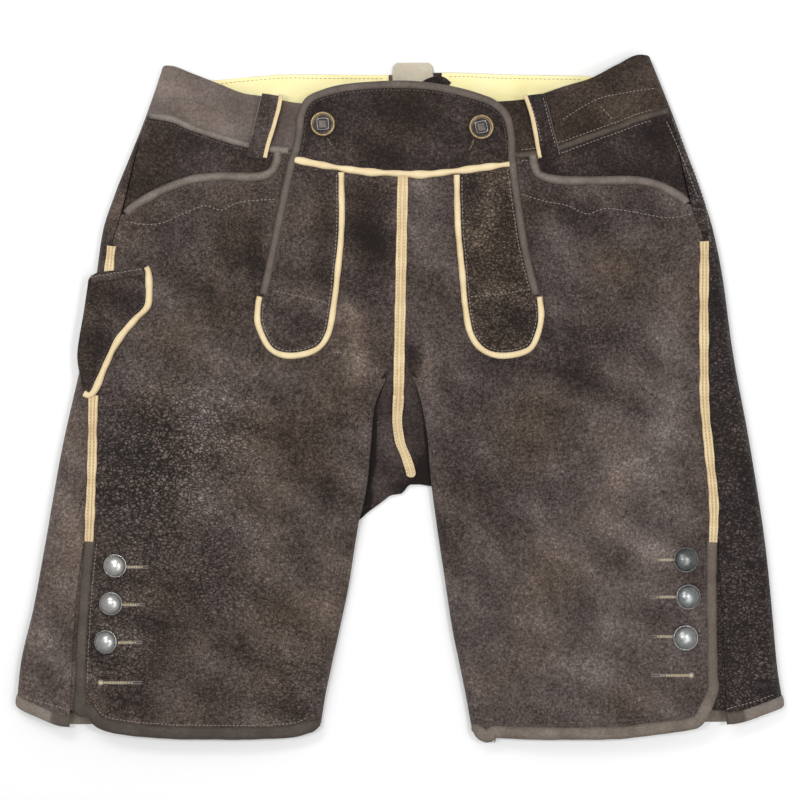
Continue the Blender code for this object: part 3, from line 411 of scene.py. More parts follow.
# Rows of stitches that follow no edge.
POCKET_WAVES = {
    "left": (
        (-226.5, 146), (-211.5, 143.5), (-195, 145), (-178, 152.5), (-161.5, 158.5), (-147, 155),
        (-132, 161.5),
        (-102, 164),
    ),
    "right": (
        (99, 168), (116.5, 162.5), (137, 158.5), (152.5, 151.5), (166.5, 156), (188, 154), (219, 149),
        (239.5, 152.5),
    ),
}
WAIST_WAVES = {
    "left": ((-201, 247.5), (-182, 247.5), (-164, 243.5), (-145, 233.5), (-128, 224.5)),
    "right": ((208.5, 256), (181, 251.5), (158.5, 245), (132, 229)),
}
SEAM_TACK = ((164, 240.5), (169, 235.5), (174, 229.5))
TONGUE_BARS = {
    "left": ((-105, 88.5), (-85.5, 84.5), (-60, 78.5)),
    "right": ((57, 83.5), (81, 86), (106, 90)),
}
BACK_TOPSTITCH = (
    ((219, 229), (233, 196), (245, 165)),
    ((224, 231), (238, 198), (250, 168), (254, 140)),
)
GUSSET_ROWS = (((-20, -19.5), (-15, -16), (-10, -12.5)), ((6.5, 0), (12, -4), (16.5, -7.5)))
BACK_HEM_ROWS = {
    "left": ((-309, -246.5), (-290, -251), (-272, -256)),
    "right": ((268, -255), (290, -249.5), (308, -243.5)),
}
HOLES = (
    ((-226, -138), (-207.5, -138)), ((-229, -169), (-210.5, -169)), ((-232, -200), (-213, -200)),
    ((-246, -233), (-213, -233)), ((224, -132), (206.5, -132)), ((226, -162.5), (205, -162.5)),
    ((223, -195), (206.5, -195)), ((238, -227), (206, -227)),
)
EYELETS = ((-246.5, -233), (238.5, -227))
FLAP_HOLES = (((-60.5, 214), (-56.5, 208)), ((60, 212.5), (56.5, 204.5)))
FLAP_SCRATCHES = (((-17, 242), (-11, 245.5), (-5.5, 251)),)
SCRATCHES = (
    ((132, 112.5), (137, 93.5), (140, 81)),
    ((142.5, 89.5), (151, 69), (155, 52.5), (157.5, 30.5), (151.5, 19.5)),
    ((147, 21.5), (153, 20.5), (160.5, 23)),
    ((196, -3.5), (198.5, -8), (200, -12.5)),
    ((208.5, -33.5), (217, -50), (225.5, -73)),
    ((59, 28.5), (60, 26), (61.5, 23)),
    ((93.5, -236), (108, -235), (124.5, -236)),
    ((-132, -187), (-114, -177), (-105, -171.5)),
    ((-90, -201.5), (-99, -218), (-114, -233), (-124, -240.5)),
    ((-165.5, -42.5), (-165, -49), (-163, -55)),
    ((-137, -150), (-132, -140), (-124, -133)),
    ((173, 229), (177, 225), (181, 223)),
    *FLAP_SCRATCHES,
)
BUTTON_TILTS = {
    "left": ((0.05, 0.02), (0.03, -0.04), (-0.04, 0.03)),
    "right": ((-0.03, 0.06), (0.04, 0.03), (0.0, 0.05)),
}
BUTTON_WEAR = {"left": (0.74, 0.7, 0.68), "right": (0.2, 0.44, 0.56)}


def waves(seed, count, shortest, longest):
    """Random ripples of leather: a direction and wave number, and a start, for each."""
    rng = np.random.default_rng(seed)
    angle = rng.uniform(0, math.pi, count)
    number = 2 * math.pi / rng.uniform(shortest, longest, count)
    return number * np.cos(angle), number * np.sin(angle), rng.uniform(0, 2 * math.pi, count)


BROAD = waves(3, 14, 55, 150)
FINE = waves(5, 18, 16, 38)
CLOUDS = waves(8, 16, 22, 80)
HUES = waves(9, 10, 50, 130)


def ripple(x, y, rows):
    """Uneven ups and downs of about 1 at most places."""
    total = 0
    for kx, ky, start in zip(*rows):
        total = total + np.sin(kx * x + ky * y + start)
    return total / math.sqrt(len(rows[0]) / 2)


def smooth(table_x, table_y, x):
    """Monotone cubic through a table's points; straight on past its ends."""
    order = np.argsort(table_x)
    xs, ys = table_x[order], table_y[order]
    step = np.diff(xs)
    slope = np.diff(ys) / step
    tangent = np.empty_like(ys)
    tangent[0], tangent[-1] = slope[0], slope[-1]
    same_way = slope[:-1] * slope[1:] > 0
    mean = 2 * slope[:-1] * slope[1:] / np.where(same_way, slope[:-1] + slope[1:], 1)
    tangent[1:-1] = np.where(same_way, mean, 0)
    x = np.asarray(x, float)
    inside = np.clip(x, xs[0], xs[-1])
    k = np.clip(np.searchsorted(xs, inside) - 1, 0, len(step) - 1)
    t = (inside - xs[k]) / step[k]
    value = (
        ys[k] * (1 + 2 * t) * (1 - t) ** 2
        + ys[k + 1] * t * t * (3 - 2 * t)
        + step[k] * (tangent[k] * t * (1 - t) ** 2 - tangent[k + 1] * t * t * (1 - t))
    )
    beyond = x - inside
    return value + beyond * np.where(beyond < 0, tangent[0], tangent[-1])


def ease(t):
    """From 0 to 1 with a soft start and end; level outside that."""
    t = np.clip(t, 0, 1)
    return t * t * (3 - 2 * t)


def fold_x(side, y):
    """The side fold in plan."""
    return smooth(FOLD["y"], FOLD[side], y)


def width_at(side, y, upper=True):
    """From the side fold to the inner edge, on the upper or the lower layer."""
    front = smooth(FRONT_INNER["y"], FRONT_INNER[side], y)
    legs = ease((CROTCH_Y + 2 - y) / 12)
    inner = front if upper else BACK_CENTRE + (front - BACK_CENTRE) * legs
    return np.abs(inner - fold_x(side, y))


def inner_turn(y, upper=True):
    """The angle that the inner edge rolls over: none above the crotch, a quarter turn on the legs."""
    opened = ease((SLIT_TOP_Y - y) / (SLIT_TOP_Y - CROTCH_Y)) if upper else ease((CROTCH_Y + 2 - y) / 12)
    return opened * math.pi / 2


def crease(x, y, start, end, depth, reach):
    """A soft trough along a line, fading out at both ends."""
    ax, ay = start
    dx, dy = end[0] - ax, end[1] - ay
    along = ((x - ax) * dx + (y - ay) * dy) / (dx * dx + dy * dy)
    away = ((x - ax) * dy - (y - ay) * dx) / math.hypot(dx, dy)
    return -depth * np.exp(-((away / reach) ** 2)) * ease(along * 3) * ease((1 - along) * 3)


# The largest folds: start, end, depth and reach of each.
CREASES = (
    ((-24, 10), (-105, -60), 2.2, 13),
    ((20, 0), (95, -75), 1.8, 14),
    ((-215, 40), (-120, -110), 1.6, 20),
    ((215, 100), (120, -70), 1.5, 22),
    ((-120, -120), (-230, -215), 1.4, 18),
    ((110, -150), (215, -230), 1.3, 18),
)
# Smaller folds of the same kind, only in the look: by the crotch's corners, down the legs and by the seams.
FOLDS = (
    ((-22, 62), (-58, -34), 1.3, 5.5),
    ((-30, 84), (-80, 22), 0.8, 6.0),
    ((-34, -10), (-62, -96), 1.2, 6.5),
    ((-44, -60), (-110, -150), 0.8, 8.0),
    ((-70, 20), (-140, -40), 0.7, 9.0),
    ((-38, -130), (-60, -220), 0.7, 6.0),
    ((-90, -170), (-128, -250), 0.6, 8.0),
    ((-165, -185), (-236, -150), 0.6, 6.0),
    ((-205, 110), (-150, 60), 0.7, 9.0),
    ((-232, -150), (-205, -245), 0.5, 5.0),
    ((9, 60), (13, 18), 1.8, 4.5),
    ((26, 40), (34, -46), 1.0, 5.0),
    ((34, -40), (52, -130), 0.9, 6.0),
    ((52, -60), (66, -190), 0.8, 6.5),
    ((78, -90), (88, -215), 0.7, 6.0),
    ((120, -130), (140, -240), 0.6, 7.0),
    ((60, 20), (120, -30), 0.6, 9.0),
    ((150, 60), (205, 10), 0.7, 10.0),
    ((236, 10), (205, -70), 0.7, 8.0),
    ((175, -110), (225, -170), 0.5, 7.0),
    ((200, 150), (140, 118), 0.6, 7.0),
)


def upper_height(side, inset, y):
    """The upper skin's height away from its rolled edges."""
    x = fold_x(side, y) - SIDES[side] * inset
    inner = 1 - (inner_turn(y) / (math.pi / 2)) * (1 - ease((width_at(side, y) - inset) / INSEAM_REACH))
    swell = smooth(SWELL["y"], SWELL["height"], y) * ease(0.12 + 0.88 * inset / FOLD_REACH) * inner
    folds = sum(crease(x, y, *row) for row in CREASES)
    small = sum(crease(x, y, *row) for row in FOLDS) + 0.5 * ripple(x, y, BROAD) + 0.12 * ripple(x, y, FINE)
    return 2 * FOLD_RADIUS + swell + folds * ease(inset / 40) + small * ease(inset / 14)


def skin(side, run, y):
    """The outer skin at a run of leather from the side fold: over the top above 0, below it under 0."""
    run, y = np.broadcast_arrays(np.asarray(run, float), np.asarray(y, float))
    upper = run > 0
    turn = np.where(upper, inner_turn(y), inner_turn(y, False))
    width = np.where(upper, width_at(side, y), width_at(side, y, False))
    flat_end = width - FOLD_RADIUS * np.sin(turn)
    reach = np.abs(run) - QUARTER_RUN
    fold_angle = np.clip(np.abs(run) / FOLD_RADIUS, 0, math.pi / 2)
    roll = np.maximum(reach - (flat_end - FOLD_RADIUS), 0) / FOLD_RADIUS
    level = np.minimum(FOLD_RADIUS + np.maximum(reach, 0), flat_end)
    inset = np.where(reach < 0, FOLD_RADIUS * (1 - np.cos(fold_angle)), level + FOLD_RADIUS * np.sin(roll))
    drop = FOLD_RADIUS * (1 - np.sin(fold_angle)) + FOLD_RADIUS * (1 - np.cos(roll))
    height = np.where(upper, upper_height(side, inset, y) - drop, drop)
    height = np.where(np.abs(run) < QUARTER_RUN, round_fold(side, run, y), height)
    return np.stack([fold_x(side, y) - SIDES[side] * inset, y, height], axis=-1)


def round_fold(side, run, y):
    """The side fold's height: a half circle whose top runs on into the upper skin."""
    angle = np.clip(run / FOLD_RADIUS, -math.pi / 2, math.pi / 2)
    over = np.maximum(angle, 0) / (math.pi / 2)
    extra = upper_height(side, FOLD_RADIUS * (1 - np.cos(angle)), y) - 2 * FOLD_RADIUS
    return FOLD_RADIUS * (1 + np.sin(angle)) + extra * ease(over)


def normal(side, run, y):
    """The outward direction of the skin, from its neighbours."""
    step = 0.4
    across = skin(side, run + step, y) - skin(side, run - step, y)
    along = skin(side, run, y + step) - skin(side, run, y - step)
    found = np.cross(across, along) * -SIDES[side]
    return found / np.linalg.norm(found, axis=-1, keepdims=True)


def run_at(side, x, y):
    """The run of leather over the top to a place in plan."""
    inset = np.maximum(SIDES[side] * (fold_x(side, y) - x), 0.05)
    turn = inner_turn(y)
    flat_end = width_at(side, y) - FOLD_RADIUS * np.sin(turn)
    on_fold = FOLD_RADIUS * np.arccos(np.clip(1 - inset / FOLD_RADIUS, -1, 1))
    roll = np.arcsin(np.clip((inset - flat_end) / FOLD_RADIUS, 0, 1))
    on_top = QUARTER_RUN + np.minimum(inset, flat_end) - FOLD_RADIUS + FOLD_RADIUS * roll
    return np.where(inset < FOLD_RADIUS, on_fold, on_top)


def end_run(side, y, upper=True):
    """The run of leather from the side fold to the inner edge."""
    turn = inner_turn(y, upper)
    return QUARTER_RUN + width_at(side, y, upper) - FOLD_RADIUS * (1 + np.sin(turn)) + FOLD_RADIUS * turn


def on_top(x, y):
    """Points and outward directions of the upper skin at places in plan."""
    x, y = np.broadcast_arrays(np.asarray(x, float), np.asarray(y, float))
    is_left = x < smooth(CROTCH["y"], CROTCH["x"], np.clip(y, -84, 40))
    points = np.empty(x.shape + (3,))
    outward = np.empty(x.shape + (3,))
    for side in SIDES:
        run = run_at(side, x, y)
        mine = is_left if side == "left" else ~is_left
        points[mine] = skin(side, run, y)[mine]
        outward[mine] = normal(side, run, y)[mine]
    return points, outward


def line(table_or_points, count):
    """Evenly spaced points along a smooth line through a short list of points."""
    if isinstance(table_or_points, dict):
        points = plan(table_or_points["x"], table_or_points["y"])
    else:
        points = np.array(table_or_points, float)
    length = np.concatenate([[0], np.cumsum(np.hypot(*np.diff(points, axis=0).T))])
    fine = np.linspace(0, length[-1], count)
    padded = np.concatenate([[2 * points[0] - points[1]], points, [2 * points[-1] - points[-2]]])
    k = np.clip(np.searchsorted(length, fine) - 1, 0, len(points) - 2)
    t = ((fine - length[k]) / (length[k + 1] - length[k]))[:, None]
    p0, p1, p2, p3 = padded[k], padded[k + 1], padded[k + 2], padded[k + 3]
    return 0.5 * (
        2 * p1 + (p2 - p0) * t + (2 * p0 - 5 * p1 + 4 * p2 - p3) * t**2 + (3 * p1 - p0 - 3 * p2 + p3) * t**3
    )


def soften(points, reach):
    """The same line with its corners eased over a reach."""
    count = len(points)
    size = max(1, round(reach / (plan_length(points) / count)))
    padded = np.concatenate(
        [np.repeat(points[:1], size, axis=0), points, np.repeat(points[-1:], size, axis=0)]
    )
    weights = np.hanning(2 * size + 3)[1:-1]
    eased = np.stack([np.convolve(padded[:, k], weights / weights.sum(), "valid") for k in (0, 1)], axis=-1)
    share = np.clip(np.minimum(np.arange(count), np.arange(count)[::-1]) / size, 0, 1)[:, None]
    return points * (1 - share) + eased * share


def beside(points, distance):
    """A line at one side of another: to its right when the distance is above 0."""
    tangent = np.gradient(points, axis=0)
    tangent /= np.linalg.norm(tangent, axis=1, keepdims=True)
    return points + np.stack([tangent[:, 1], -tangent[:, 0]], axis=-1) * np.reshape(distance, (-1, 1))


def plan(x, y):
    """A line or a grid in plan from its x and y."""
    return np.stack([x, y], axis=-1)


def down(table, column, start, end, count=300):
    """A line in plan that follows a table's column from one y to another."""
    y = np.linspace(start, end, count)
    return plan(smooth(table["y"], table[column], y), y)


def facing_up(x, y, height):
    """Points at a height over places in plan, and their outward directions, straight up."""
    points = np.stack(np.broadcast_arrays(x, y, height), axis=-1).astype(float)
    return points, np.broadcast_to(UP, points.shape)


FRONT_TOP_X = {"left": (-72, -38, -1.2), "right": (74, 38, -1.2)}


def side_edge(side, y, part):
    """In plan, the front's or the back's edge down the side: the seam, then the vent."""
    sign = SIDES[side]
    seam = smooth(SIDE_SEAM["y"], SIDE_SEAM[side], y)
    vent = smooth(VENT["y"], VENT[part + "_" + side], y)
    if part == "front":
        vent = vent - sign * (STRIP_WIDTH / 2 + GAP)
    return np.where(y > VENT_TOP_Y, seam, vent)


def run_and_y(side, points):
    """The same points as (run from the side fold, y)."""
    x, y = points[..., 0], points[..., 1]
    return plan(run_at(side, x, y), y)


def edge_runs(side, y, part):
    """A panel's side edge as (run, y), half a gap back from the seam."""
    half_gap = 0.8 * GAP if part == "front" else -0.8 * GAP
    return plan(run_at(side, side_edge(side, y, part), y) + half_gap, y)


def mouth_line(side, offset, count):
    """The pocket mouth from the side seam, moved down towards the leg by the offset."""
    return beside(line(POCKET_MOUTH[side], count), -SIDES[side] * offset)


def band_edge(side, edge, x):
    """The front waistband's top or lower edge; level past the ends of its table."""
    band = BAND[side]
    return smooth(band["x"], band[edge], np.clip(x, band["x"][0], band["x"][-1]))


def back_top(x):
    """The back waistband's top edge."""
    raised = BACK_RISE * ease((200 - np.abs(x)) / 60)
    return smooth(
        BAND_BACK["x"], BAND_BACK["top"], np.clip(x, BAND_BACK["x"][0], BAND_BACK["x"][-1]),
    ) + raised


def hem_back_low(x):
    """The back hem's lower edge."""
    return smooth(HEM_BACK["x"], HEM_BACK["y"], x)


def gusset_height(y):
    """How high the crotch lies: level with the front at the top of the slits, low at its foot."""
    t = ease((SLIT_TOP_Y + 4 - y) / (SLIT_TOP_Y - CROTCH_Y))
    return GUSSET_TOP * (1 - t) + GUSSET_FOOT * t


def flap_outline(count):
    """The flap's outer edge from the foot of its left side, over the top, to the foot of its right."""
    left = plan(FLAP_SIDE["left"], FLAP_SIDE["y"])[:0:-1]
    right = plan(FLAP_SIDE["right"], FLAP_SIDE["y"])[1:]
    top = plan(FLAP_TOP["x"], FLAP_TOP["y"])
    return line(np.concatenate([left, top, right]), count)


def foot_y(x):
    """The flap's foot."""
    return smooth(FLAP_FOOT["x"], FLAP_FOOT["y"], x)


# ---------------------------------------------------------------------------------------------
# Meshes


def quads(at):
    """Faces between the neighbours of a grid of vertex numbers."""
    return np.stack([at[:-1, :-1], at[:-1, 1:], at[1:, 1:], at[1:, :-1]], axis=-1).reshape(-1, 4)


def piece(name, vertices, faces, finish, nodes, tone=None):
    """One smooth-shaded piece from points in millimetres and arrays of faces, riding on the body."""
    mesh = bpy.data.meshes.new(name)
    corners = np.concatenate([group.ravel() for group in faces]).astype(np.int32)
    sizes = np.concatenate([np.full(len(group), group.shape[1]) for group in faces])
    mesh.vertices.add(len(vertices))
    mesh.vertices.foreach_set("co", (vertices * MM).astype(np.float32).ravel())
    mesh.loops.add(len(corners))
    mesh.loops.foreach_set("vertex_index", corners)
    mesh.polygons.add(len(sizes))
    mesh.polygons.foreach_set("loop_start", np.concatenate([[0], np.cumsum(sizes)[:-1]]).astype(np.int32))
    mesh.update(calc_edges=True)
    mesh.shade_smooth()
    mesh.set_sharp_from_angle(angle=SHARP)
    for key, values in (tone or {}).items():
        layer = mesh.attributes.new(key, "FLOAT", "POINT")
        layer.data.foreach_set("value", np.broadcast_to(values, len(vertices)).astype(np.float32))
    mesh.materials.append(finish)
    made = bpy.data.objects.new(name, mesh)
    bpy.context.scene.collection.objects.link(made)
    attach(made, "root")
    if nodes:
        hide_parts(*nodes)
    return made


def edge_distance(points):
    """How far each point of a grid is from the nearest edge of the grid, along its lines."""
    found = []
    for axis in (0, 1):
        steps = np.linalg.norm(np.diff(points, axis=axis), axis=-1)
        ahead = np.cumsum(steps, axis=axis)
        ahead = np.concatenate([np.zeros_like(np.take(ahead, [0], axis)), ahead], axis=axis)
        found += [ahead, np.take(ahead, [-1], axis) - ahead]
    return np.min(found, axis=0)


def rounded(distance, radius):
    """From 0 at an edge to 1 a radius away, as a quarter circle."""
    return np.sqrt(1 - (1 - np.clip(distance / radius, 0, 1)) ** 2)


def facing_out(faces, vertices, outward_point, outward):
    """The same faces, turned round if the first one there faces inwards."""
    a, b, c = (vertices[faces[outward_point, k]] for k in (0, 1, 2))
    return faces if np.dot(np.cross(b - a, c - a), outward) > 0 else faces[:, ::-1]


def shell(name, base, outward, low, high, finish, nodes, flat_under=False, bulge=None, tone=None):
    """A closed sheet of leather over a grid of points, between two heights, with rounded edges."""
    low, high = (np.broadcast_to(value, base.shape[:2]).astype(float) for value in (low, high))
    half = (high - low) / 2
    if bulge is None:
        bulge = rounded(edge_distance(base), 0.9 * half)
    under = low if flat_under else low + half * (1 - bulge)
    over = low + 2 * half * bulge if flat_under else high - half * (1 - bulge)
    rows, across = base.shape[:2]
    at_top = np.arange(rows * across).reshape(rows, across)
    at_low = at_top.copy()
    at_low[1:-1, 1:-1] = rows * across + np.arange((rows - 2) * (across - 2)).reshape(rows - 2, across - 2)
    vertices = np.concatenate(
        [
            (base + outward * over[..., None]).reshape(-1, 3),
            (base + outward * under[..., None])[1:-1, 1:-1].reshape(-1, 3),
        ]
    )
    middle = (rows // 2) * (across - 1) + across // 2
    top = facing_out(quads(at_top), vertices, middle, outward[rows // 2, across // 2])
    foot = facing_out(quads(at_low), vertices, middle, -outward[rows // 2, across // 2])
    values = None
    if tone is not None:
        spread = {key: np.broadcast_to(value, at_top.shape) for key, value in tone.items()}
        values = {
            key: np.concatenate([grid.ravel(), grid[1:-1, 1:-1].ravel()])
            for key, grid in spread.items()
        }
    return piece(name, vertices, [top, foot], finish, nodes, values)


def steps(length, cell, rim=(0, 0.25, 0.8)):
    """Places from 0 to 1 along a stretch, with close ones at both ends for a rounded edge."""
    rim = np.array(rim)
    inside = np.linspace(rim[-1], length - rim[-1], max(3, round(length / cell)))
    return np.concatenate([rim[:-1], inside, length - rim[-2::-1]]) / length


def plan_length(points):
    """The length of a line in plan."""
    return float(np.hypot(*np.diff(points, axis=0).T).sum())


def resample(points, places):
    """Points at these places, from 0 to 1, along a line of many points."""
    along = np.concatenate([[0], np.cumsum(np.linalg.norm(np.diff(points, axis=0), axis=1))])
    return np.stack(
        [np.interp(places * along[-1], along, points[:, k]) for k in range(points.shape[1])], axis=-1,
    )


def patch_at(top, foot, left, right, u, v):
    """A grid within four edges, at uneven places u across and v up; left and right go from the foot up."""
    u, v = u[None, :, None], v[:, None, None]
    corners = (
        foot[0] * (1 - u) * (1 - v) + foot[-1] * u * (1 - v) + top[0] * (1 - u) * v + top[-1] * u * v
    )
    return (
        foot[None] * (1 - v) + top[None] * v + left[:, None] * (1 - u) + right[:, None] * u - corners
    )


# ---------------------------------------------------------------------------------------------
# Colour of the suede: how pale and how brown it is, in soft patches placed one by one


def tone_of(group, base, x, y):
    """How pale (wear_and_shade: the suede's own tone, with painted shade and highlights from some patches),
    how brown (warm) and how wrinkled (grain; calm below 0) the suede is in plan.
    """
    wear_and_shade, warm, grain = base
    wear_and_shade = wear_and_shade + 0.05 * ripple(x, y, CLOUDS)
    warm = warm + 0.16 * ripple(x, y, HUES)
    for at_x, at_y, reach_x, reach_y, paler, browner in PATCHES[group]:
        share = np.exp(-(((x - at_x) / reach_x) ** 2) - ((y - at_y) / reach_y) ** 2)
        wear_and_shade = wear_and_shade + paler * share
        warm = warm + browner * share
    if group == "leg":
        for at_x, at_y, reach_x, reach_y, more in WRINKLED:
            grain = grain + more * np.exp(-(((x - at_x) / reach_x) ** 2) - ((y - at_y) / reach_y) ** 2)
    return {"wear_and_shade": wear_and_shade, "warm": np.clip(warm, 0, 1), "grain": grain}


# ---------------------------------------------------------------------------------------------
# Materials


class Look:
    """A Principled material and short ways to add nodes to it."""

    def __init__(self, name, roughness, specular=0.3, metallic=0.0, sheen=0.0, coat=0.0):
        self.material = bpy.data.materials.new(name)
        self.material.use_nodes = True
        self.tree = self.material.node_tree
        self.shader = self.tree.nodes["Principled BSDF"]
        self.shader.inputs["Roughness"].default_value = roughness
        self.shader.inputs["Specular IOR Level"].default_value = specular
        self.shader.inputs["Metallic"].default_value = metallic
        self.shader.inputs["Coat Weight"].default_value = coat
        self.shader.inputs["Sheen Weight"].default_value = sheen
        self.shader.inputs["Sheen Roughness"].default_value = 0.5
        self.place = self.node("ShaderNodeTexCoord").outputs["Object"]

    def node(self, kind, inputs=None, **settings):
        made = self.tree.nodes.new(kind)
        for key, value in settings.items():
            setattr(made, key, value)
        for key, value in (inputs or {}).items():
            if isinstance(value, bpy.types.NodeSocket):
                self.tree.links.new(value, made.inputs[key])
            else:
                made.inputs[key].default_value = value
        return made

    def noise(self, scale, detail=3.0, rough=0.55, distortion=0.0):
        values = {"Scale": scale, "Detail": detail, "Roughness": rough, "Distortion": distortion}
        return self.node("ShaderNodeTexNoise", {"Vector": self.place, **values}).outputs["Fac"]

    def cells(self, scale, feature="F1", place=None):
        values = {"Vector": place or self.place, "Scale": scale}
        return self.node("ShaderNodeTexVoronoi", values, feature=feature).outputs["Distance"]

    def math(self, operation, a, b=0.0, c=0.0):
        return self.node("ShaderNodeMath", {0: a, 1: b, 2: c}, operation=operation).outputs[0]

    def add(self, *values):
        total = values[0]
        for value in values[1:]:
            total = self.math("ADD", total, value)
        return total

    def times(self, a, b):
        return self.math("MULTIPLY", a, b)

    def vary(self, value, texture, amount):
        """A value moved up and down by a texture, which is 0.5 on average."""
        return self.add(value, self.times(self.math("SUBTRACT", texture, 0.5), amount))

    def ramp(self, value, stops):
        made = self.node("ShaderNodeValToRGB", {"Fac": value})
        band = made.color_ramp
        while len(band.elements) < len(stops):
            band.elements.new(0.5)
        for element, (place, colour) in zip(band.elements, stops):
            element.position = place
            element.color = (*colour, 1)
        return made.outputs["Color"]

    def mix(self, share, a, b, blend="MIX"):
        made = self.node("ShaderNodeMix", data_type="RGBA", blend_type=blend)
        for key, value in ((0, share), (6, a), (7, b)):
            if isinstance(value, bpy.types.NodeSocket):
                self.tree.links.new(value, made.inputs[key])
            else:
                made.inputs[key].default_value = value if key == 0 else (*value, 1)
        return made.outputs[2]

    def attribute(self, name):
        return self.node("ShaderNodeAttribute", attribute_name=name).outputs["Fac"]

    def finish(self, colour, height=None, distance=0.0004, strength=0.6, roughness=None):
        self.tree.links.new(colour, self.shader.inputs["Base Color"])
        if height is not None:
            values = {"Height": height, "Distance": distance, "Strength": strength}
            bump = self.node("ShaderNodeBump", values)
            self.tree.links.new(bump.outputs["Normal"], self.shader.inputs["Normal"])
        if roughness is not None:
            self.tree.links.new(roughness, self.shader.inputs["Roughness"])
        return self.material


def suede_look():
    """Worn suede: cloudy patches, a fine nap, pale flecks, and wrinkled grain where it is asked for."""
    look = Look("suede", 0.92, specular=0.22, sheen=0.12)
    cloud = look.noise(38, 6, 0.62, 0.6)
    blotch = look.noise(150, 5, 0.62, 0.4)
    mottle = look.noise(430, 4, 0.65, 0.2)
    nap = look.noise(1000, 3, 0.7)
    fibres = look.cells(620)
    grain_or_calm = look.attribute("grain")
    grain = look.math("MAXIMUM", grain_or_calm, 0.0)
    busy = look.math("MULTIPLY_ADD", look.math("MINIMUM", grain_or_calm, 0.0), 0.7, 1.0)
    value = look.attribute("wear_and_shade")
    for texture, amount in ((cloud, 0.22), (blotch, 0.34), (mottle, 1.15), (nap, 1.05)):
        varied = look.times(look.math("SUBTRACT", texture, 0.5), amount)
        value = look.math("MULTIPLY_ADD", varied, busy, value)
    pale_specks = look.math("GREATER_THAN", look.noise(1150, 1, 0.5), 0.70)
    value = look.add(value, look.times(pale_specks, 0.16))
    bent = look.node(
        "ShaderNodeMapping", {"Vector": look.place, "Rotation": (0, 0, 0.5), "Scale": (1, 1.5, 1)},
    )
    wavy = look.mix(
        0.012, (0, 0, 0),
        look.node("ShaderNodeTexNoise", {"Vector": look.place, "Scale": 90}).outputs["Color"],
    )
    shifted_place = look.node(
        "ShaderNodeVectorMath", {0: bent.outputs[0], 1: wavy}, operation="ADD",
    ).outputs[0]
    pebble = look.cells(265, "DISTANCE_TO_EDGE", place=shifted_place)
    crack = look.cells(70, "DISTANCE_TO_EDGE", place=shifted_place)
    furrow = look.math("MINIMUM", look.times(pebble, 4.5), 1.0)
    fold = look.math("MINIMUM", look.times(crack, 9.0), 1.0)
    for line_shade, amount in ((furrow, 0.62), (fold, 0.2)):
        value = look.add(value, look.times(look.math("SUBTRACT", line_shade, 0.8), look.times(grain, amount)))
    colour = look.ramp(value, SUEDE_STOPS)
    colour = look.mix(look.attribute("warm"), colour, (1.04, 0.95, 0.74), "MULTIPLY")
    height = look.add(
        look.times(nap, 0.55),
        look.times(fibres, 0.35),
        look.times(look.times(furrow, grain), 1.8),
        look.times(look.times(fold, grain), 1.2),
        look.times(blotch, 1.4),
        look.times(mottle, 0.8),
    )
    return look.finish(colour, height, 0.0009, 0.8)


def binding_look():
    """Grey smooth-side leather: pale on its crown, where roll paints a highlight, fine pores, and small cross
    creases.
    """
    look = Look("binding", 0.62, specular=0.35, sheen=0.05)
    cloud = look.noise(90, 4, 0.6, 0.4)
    fine = look.noise(1100, 3, 0.6)
    value = look.vary(look.attribute("wear_and_shade"), cloud, 0.4)
    value = look.vary(look.vary(value, fine, 0.75), look.noise(420, 4, 0.65), 0.5)
    colour = look.ramp(value, BINDING_STOPS)
    colour = look.mix(look.attribute("warm"), colour, (1.03, 0.95, 0.78), "MULTIPLY")
    pores = look.cells(1300, "DISTANCE_TO_EDGE")
    height = look.add(look.times(pores, 0.7), look.times(cloud, 0.8))
    return look.finish(colour, height, 0.0003, 0.5)


def pale_look(name, stops, dirt, roughness=0.78):
    """Undyed leather: warm and pale, with soft dirt, fine wrinkles and pores."""
    look = Look(name, roughness, specular=0.3, sheen=0.05)
    cloud = look.noise(70, 5, 0.65, 0.6)
    fine = look.noise(950, 3, 0.65)
    value = look.vary(look.vary(0.5, cloud, dirt), fine, 0.32)
    value = look.add(value, look.attribute("wear_and_shade"))
    colour = look.ramp(value, stops)
    wrinkle = look.cells(430, "DISTANCE_TO_EDGE")
    height = look.add(look.times(wrinkle, 0.6), look.times(fine, 0.6))
    return look.finish(colour, height, 0.0003, 0.5)


def thread_look(name, dark, light):
    look = Look(name, 0.7, specular=0.3, sheen=0.2)
    twist = look.noise(2600, 2, 0.6)
    return look.finish(look.ramp(twist, ((0.35, dark), (0.65, light))), twist, 0.0002, 0.5)


def metal_look(name, stops, roughness):
    """Old cast metal: patina in soft patches, darker where it is uneven, and fine pits."""
    look = Look(name, roughness, specular=0.5, metallic=0.85)
    cloud = look.noise(260, 4, 0.6, 0.5)
    pit = look.noise(2400, 3, 0.7)
    value = look.vary(look.vary(look.attribute("wear_and_shade"), cloud, 0.5), pit, 0.2)
    rough = look.vary(roughness, cloud, 0.35)
    height = look.add(look.times(pit, 0.5), cloud)
    return look.finish(look.ramp(value, stops), height, 0.00012, 0.5, rough)


